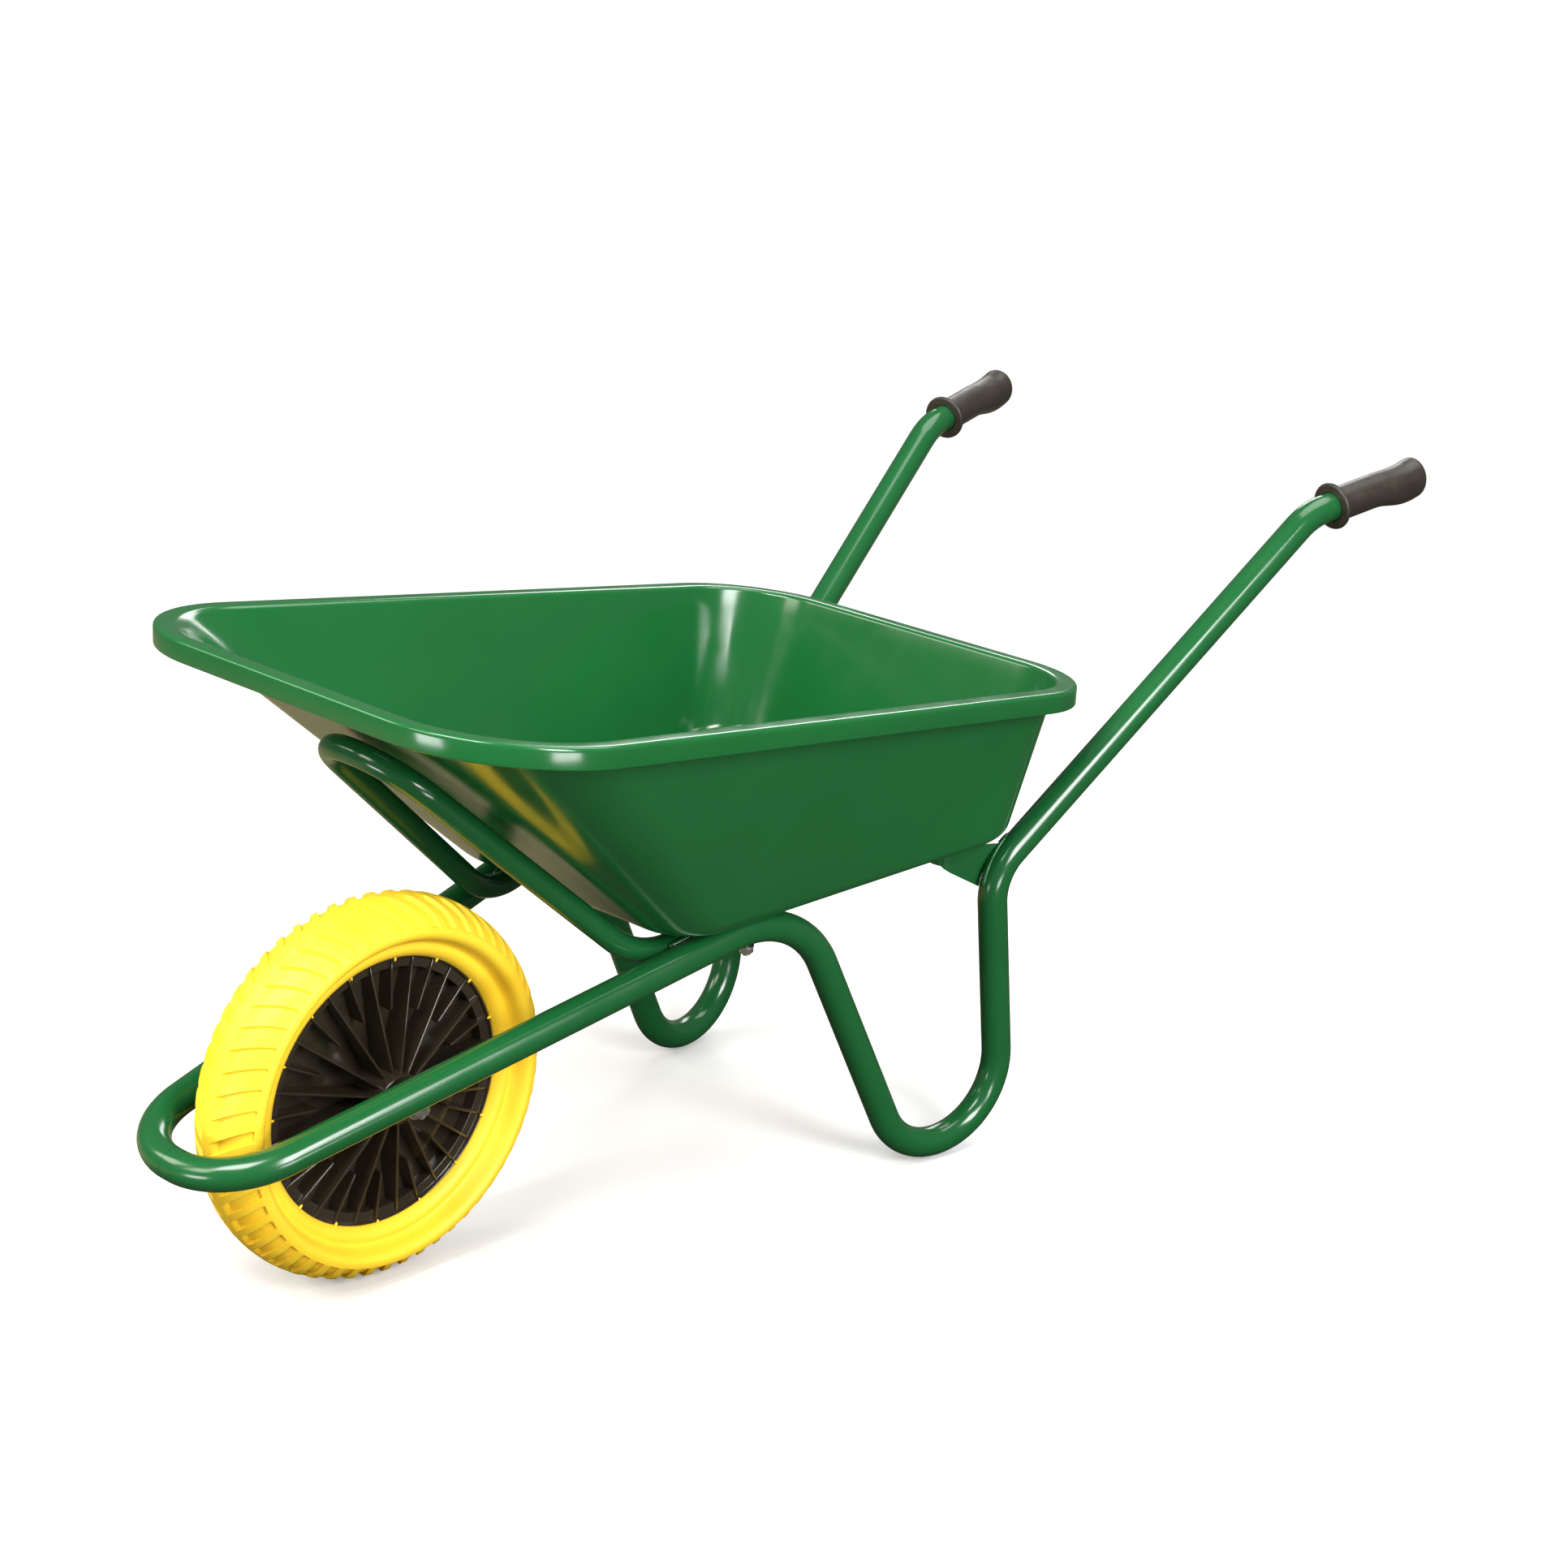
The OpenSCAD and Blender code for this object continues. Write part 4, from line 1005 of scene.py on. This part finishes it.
def bead_form(form, path, radius, seed):
    """A weld bead: overlapping drops along a path, as one skin with ripples."""
    shake = random.Random(seed)
    length = sum((b - a).length for a, b in zip(path, path[1:]))
    count = max(8, int(length / RIPPLE * RIPPLE_RINGS))
    turns = [TAU * k / BEAD_SIDES for k in range(BEAD_SIDES)]
    wander = [shake.uniform(-1, 1) for _ in range(count + 8)]
    rings = []
    for j in range(count + 1):
        u = j / count
        spot = u * (len(path) - 1)
        i = min(int(spot), len(path) - 2)
        centre = path[i].lerp(path[i + 1], spot - i)
        axis = (path[i + 1] - path[i]).normalized()
        side = axis.orthogonal().normalized()
        up = axis.cross(side)
        phase = (u * length / RIPPLE) % 1
        end = math.sqrt(max(0.02, 1 - abs(2 * u - 1) ** 10))
        r = radius * end * (0.9 + 0.14 * phase + 0.03 * wander[j // RIPPLE_RINGS])
        rings.append([centre + r * (side * math.cos(w) + up * math.sin(w)) for w in turns])
    form.loft(rings)


HOOP_WELD = (512 * MM, 556 * MM)     # from the nose corner along the rail
HOOP_WELD_IN = 16.3 * MM             # from the rail's axis towards the hoop's foot
HOOP_WELD_OFF = 9.2 * MM             # above and below the plane through both tubes


def hoop_welds(form):
    """Two beads a side where the hoop's foot lies along the rail."""
    across, square = rail_sides()
    for flip in (1, -1):
        for up in (1, -1):
            ends = []
            for reach in HOOP_WELD:
                spot = NOSE + RAIL_DIR * reach + across * HOOP_WELD_IN + square * HOOP_WELD_OFF * up
                ends.append(behind_axle((spot.x, spot.y * flip, spot.z)))
            path = [ends[0].lerp(ends[1], i / 10) for i in range(11)]
            bead_form(form, path, HOOP_WELD_R, 11 + up + 3 * flip)


GUSSET_Y = 202.2 * MM                # middle of a gusset's sheet at the leg
GUSSET_FACE = 1.6 * MM
GUSSET_WELD_LOW = 3 * MM             # above the brace's lower edge
GUSSET_WELD_TALL = 52 * MM


def gusset_welds(form, tube):
    """Beads up both faces of the brace's gussets, where they meet the legs' tube."""
    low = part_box("rear_cross_brace")[0].z + GUSSET_WELD_LOW
    for flip in (1, -1):
        for face in (GUSSET_FACE, -GUSSET_FACE):
            path = []
            for i in range(12):
                start = Vector((behind_axle(KNEE).x - 40 * MM, flip * (GUSSET_Y + face),
                                low + GUSSET_WELD_TALL * i / 11))
                hit = tube.ray_cast(start, Vector((1, 0, 0)))[0]
                if hit:
                    path.append(hit)
            bead_form(form, path, WELD_R, 31 + flip + round(face / MM))


BRACKET_WELD = 34 * MM               # length along the rail
BRACKET_WELD_UP = 28 * MM            # above the axle
INSIDE_RAIL = 64 * MM                # Y between the bracket and the rail


def bracket_welds(form, tube):
    """A bead along each axle bracket's flange, under the rail."""
    for flip in (1, -1):
        path = []
        for i in range(10):
            reach = BRACKET_WELD * (i / 9 - 0.5)
            start = behind_axle((reach * RAIL_DIR.x, flip * INSIDE_RAIL,
                                 AXLE.z + BRACKET_WELD_UP + reach * RAIL_DIR.z))
            hit = tube.ray_cast(start, Vector((0, flip, 0)))[0]
            if hit:
                path.append(hit)
        bead_form(form, path, WELD_R, 51 + flip)


def welds(tube):
    form = Form()
    skin = BVHTree.FromPolygons([v.co for v in tube.data.vertices],
                                [tuple(f.vertices) for f in tube.data.polygons])
    hoop_welds(form)
    gusset_welds(form, skin)
    bracket_welds(form, skin)
    piece = form.piece("weld_beads", "frame", FRAME_PAINT, 60)


# =================== stage ===================

FLOOR_HALF = 4


def floor():
    corners = [(x * FLOOR_HALF, y * FLOOR_HALF, 0) for x, y in ((-1, -1), (1, -1), (1, 1), (-1, 1))]
    mesh = bpy.data.meshes.new("floor")
    mesh.from_pydata(corners, [], [(0, 1, 2, 3)])
    mesh.materials.append(floor_material("pale_floor"))
    plane = bpy.data.objects.new("floor", mesh)
    bpy.context.scene.collection.objects.link(plane)


WARM = (1, 0.95, 0.82)


def softbox(name, azimuth, distance, height, width, tall, watts, colour=(1, 1, 1), aim=(0, 0, 0.4)):
    """An area light at an azimuth in degrees from +X, aimed at the barrow."""
    data = bpy.data.lights.new(name, "AREA")
    data.shape = "RECTANGLE"
    data.size, data.size_y = width, tall
    data.energy = watts
    data.color = colour
    lamp = bpy.data.objects.new(name, data)
    turn = math.radians(azimuth)
    lamp.location = (distance * math.cos(turn), distance * math.sin(turn), height)
    look = Vector(aim) - lamp.location
    lamp.rotation_mode = "QUATERNION"
    lamp.rotation_quaternion = look.to_track_quat("-Z", "Y")
    bpy.context.scene.collection.objects.link(lamp)


def lights():
    softbox("front_high", 190, 2.4, 3.1, 1.8, 1.4, 125, aim=(-0.4, 0, 0.3))
    softbox("front_window", 168, 4.4, 3.0, 1.7, 1.6, 60, WARM)
    softbox("front_door", 133, 4.4, 3.0, 1.7, 1.6, 60, WARM)
    softbox("side_window", -100, 4.0, 2.3, 1.4, 2.2, 190)
    softbox("overhead", -15, 1.2, 3.6, 2.4, 2.2, 62, aim=(-0.2, 0, 0.4))
    softbox("rear_fill", 35, 4.5, 2.3, 1.8, 1.2, 42)
    softbox("front_glow", 178, 2.2, 0.12, 0.6, 0.3, 7)
    softbox("side_glow", -107, 1.9, 0.12, 0.6, 0.3, 7)


DOME_LIGHT = 0.5
DOME_MIRRORED = 0.16


def world():
    """White to the camera, a soft pale dome for light and a dim one in reflections."""
    scene = bpy.context.scene
    scene.view_settings.view_transform = "Standard"
    scene.world = bpy.data.worlds.new("studio")
    scene.world.use_nodes = True
    nodes, links = scene.world.node_tree.nodes, scene.world.node_tree.links
    dome = nodes["Background"]
    dome.inputs["Color"].default_value = (1.0, 0.99, 0.97, 1)
    path = nodes.new("ShaderNodeLightPath").outputs
    strength = nodes.new("ShaderNodeMix")
    strength.inputs["A"].default_value = DOME_LIGHT
    strength.inputs["B"].default_value = DOME_MIRRORED
    links.new(path["Is Glossy Ray"], strength.inputs["Factor"])
    links.new(strength.outputs["Result"], dome.inputs["Strength"])
    white = nodes.new("ShaderNodeBackground")
    white.inputs["Color"].default_value = (1, 1, 1, 1)
    both = mix_shaders(nodes, links, path["Is Camera Ray"],
                       dome.outputs["Background"], white.outputs["Background"])
    links.new(both, nodes["World Output"].inputs["Surface"])


# the camera as it was solved from the photo: angles in radians, place in metres
CAMERA_AZIMUTH = -0.819623
CAMERA_ELEVATION = 0.320268
CAMERA_ROLL = 0.0517504
CAMERA_PLACE = (-2.15302, -2.06093, 1.38522)
CAMERA_LENS = 68.23


def camera():
    """Stands ahead of the barrow on its left, a little above the rim."""
    level = math.cos(CAMERA_ELEVATION)
    back = Vector((math.sin(CAMERA_AZIMUTH) * level, -math.cos(CAMERA_AZIMUTH) * level,
                   math.sin(CAMERA_ELEVATION)))
    right = Vector((0, 0, 1)).cross(back).normalized()
    up = back.cross(right)
    right, up = (right * math.cos(CAMERA_ROLL) + up * math.sin(CAMERA_ROLL),
                 up * math.cos(CAMERA_ROLL) - right * math.sin(CAMERA_ROLL))
    data = bpy.data.cameras.new("camera")
    data.lens = CAMERA_LENS
    data.sensor_width = 36
    eye = bpy.data.objects.new("camera", data)
    turn = Matrix((right, up, back)).transposed().to_4x4()
    eye.matrix_world = Matrix.Translation(CAMERA_PLACE) @ turn
    bpy.context.scene.collection.objects.link(eye)
    bpy.context.scene.camera = eye


# =================== assembly ===================

FINISHES = {
    "rear_cross_brace": FRAME_PAINT,
    "axle_bracket_right": FRAME_PAINT, "axle_bracket_left": FRAME_PAINT,
    "tray_washers": ZINC, "axle_washers": ZINC, "axle_spacer_right": ZINC, "axle_spacer_left": ZINC,
    "bearing_spacer_tube": ZINC, "bearing_inner_right": BEARING, "bearing_inner_left": BEARING,
    "bearing_balls_right": BEARING, "bearing_balls_left": BEARING,
    "bearing_outer_right": BEARING, "bearing_outer_left": BEARING,
}

camera()
for node, finish in FINISHES.items():
    finish_cad(node, finish)
MAIN_TUBE = main_tube()
hoop_tube()
tray_shell()
tyre_foam()
wheel_moulding()
grip("right", -1)
grip("left", 1)
tray_fasteners()
axle_fasteners()
welds(MAIN_TUBE)
floor()
lights()
world()
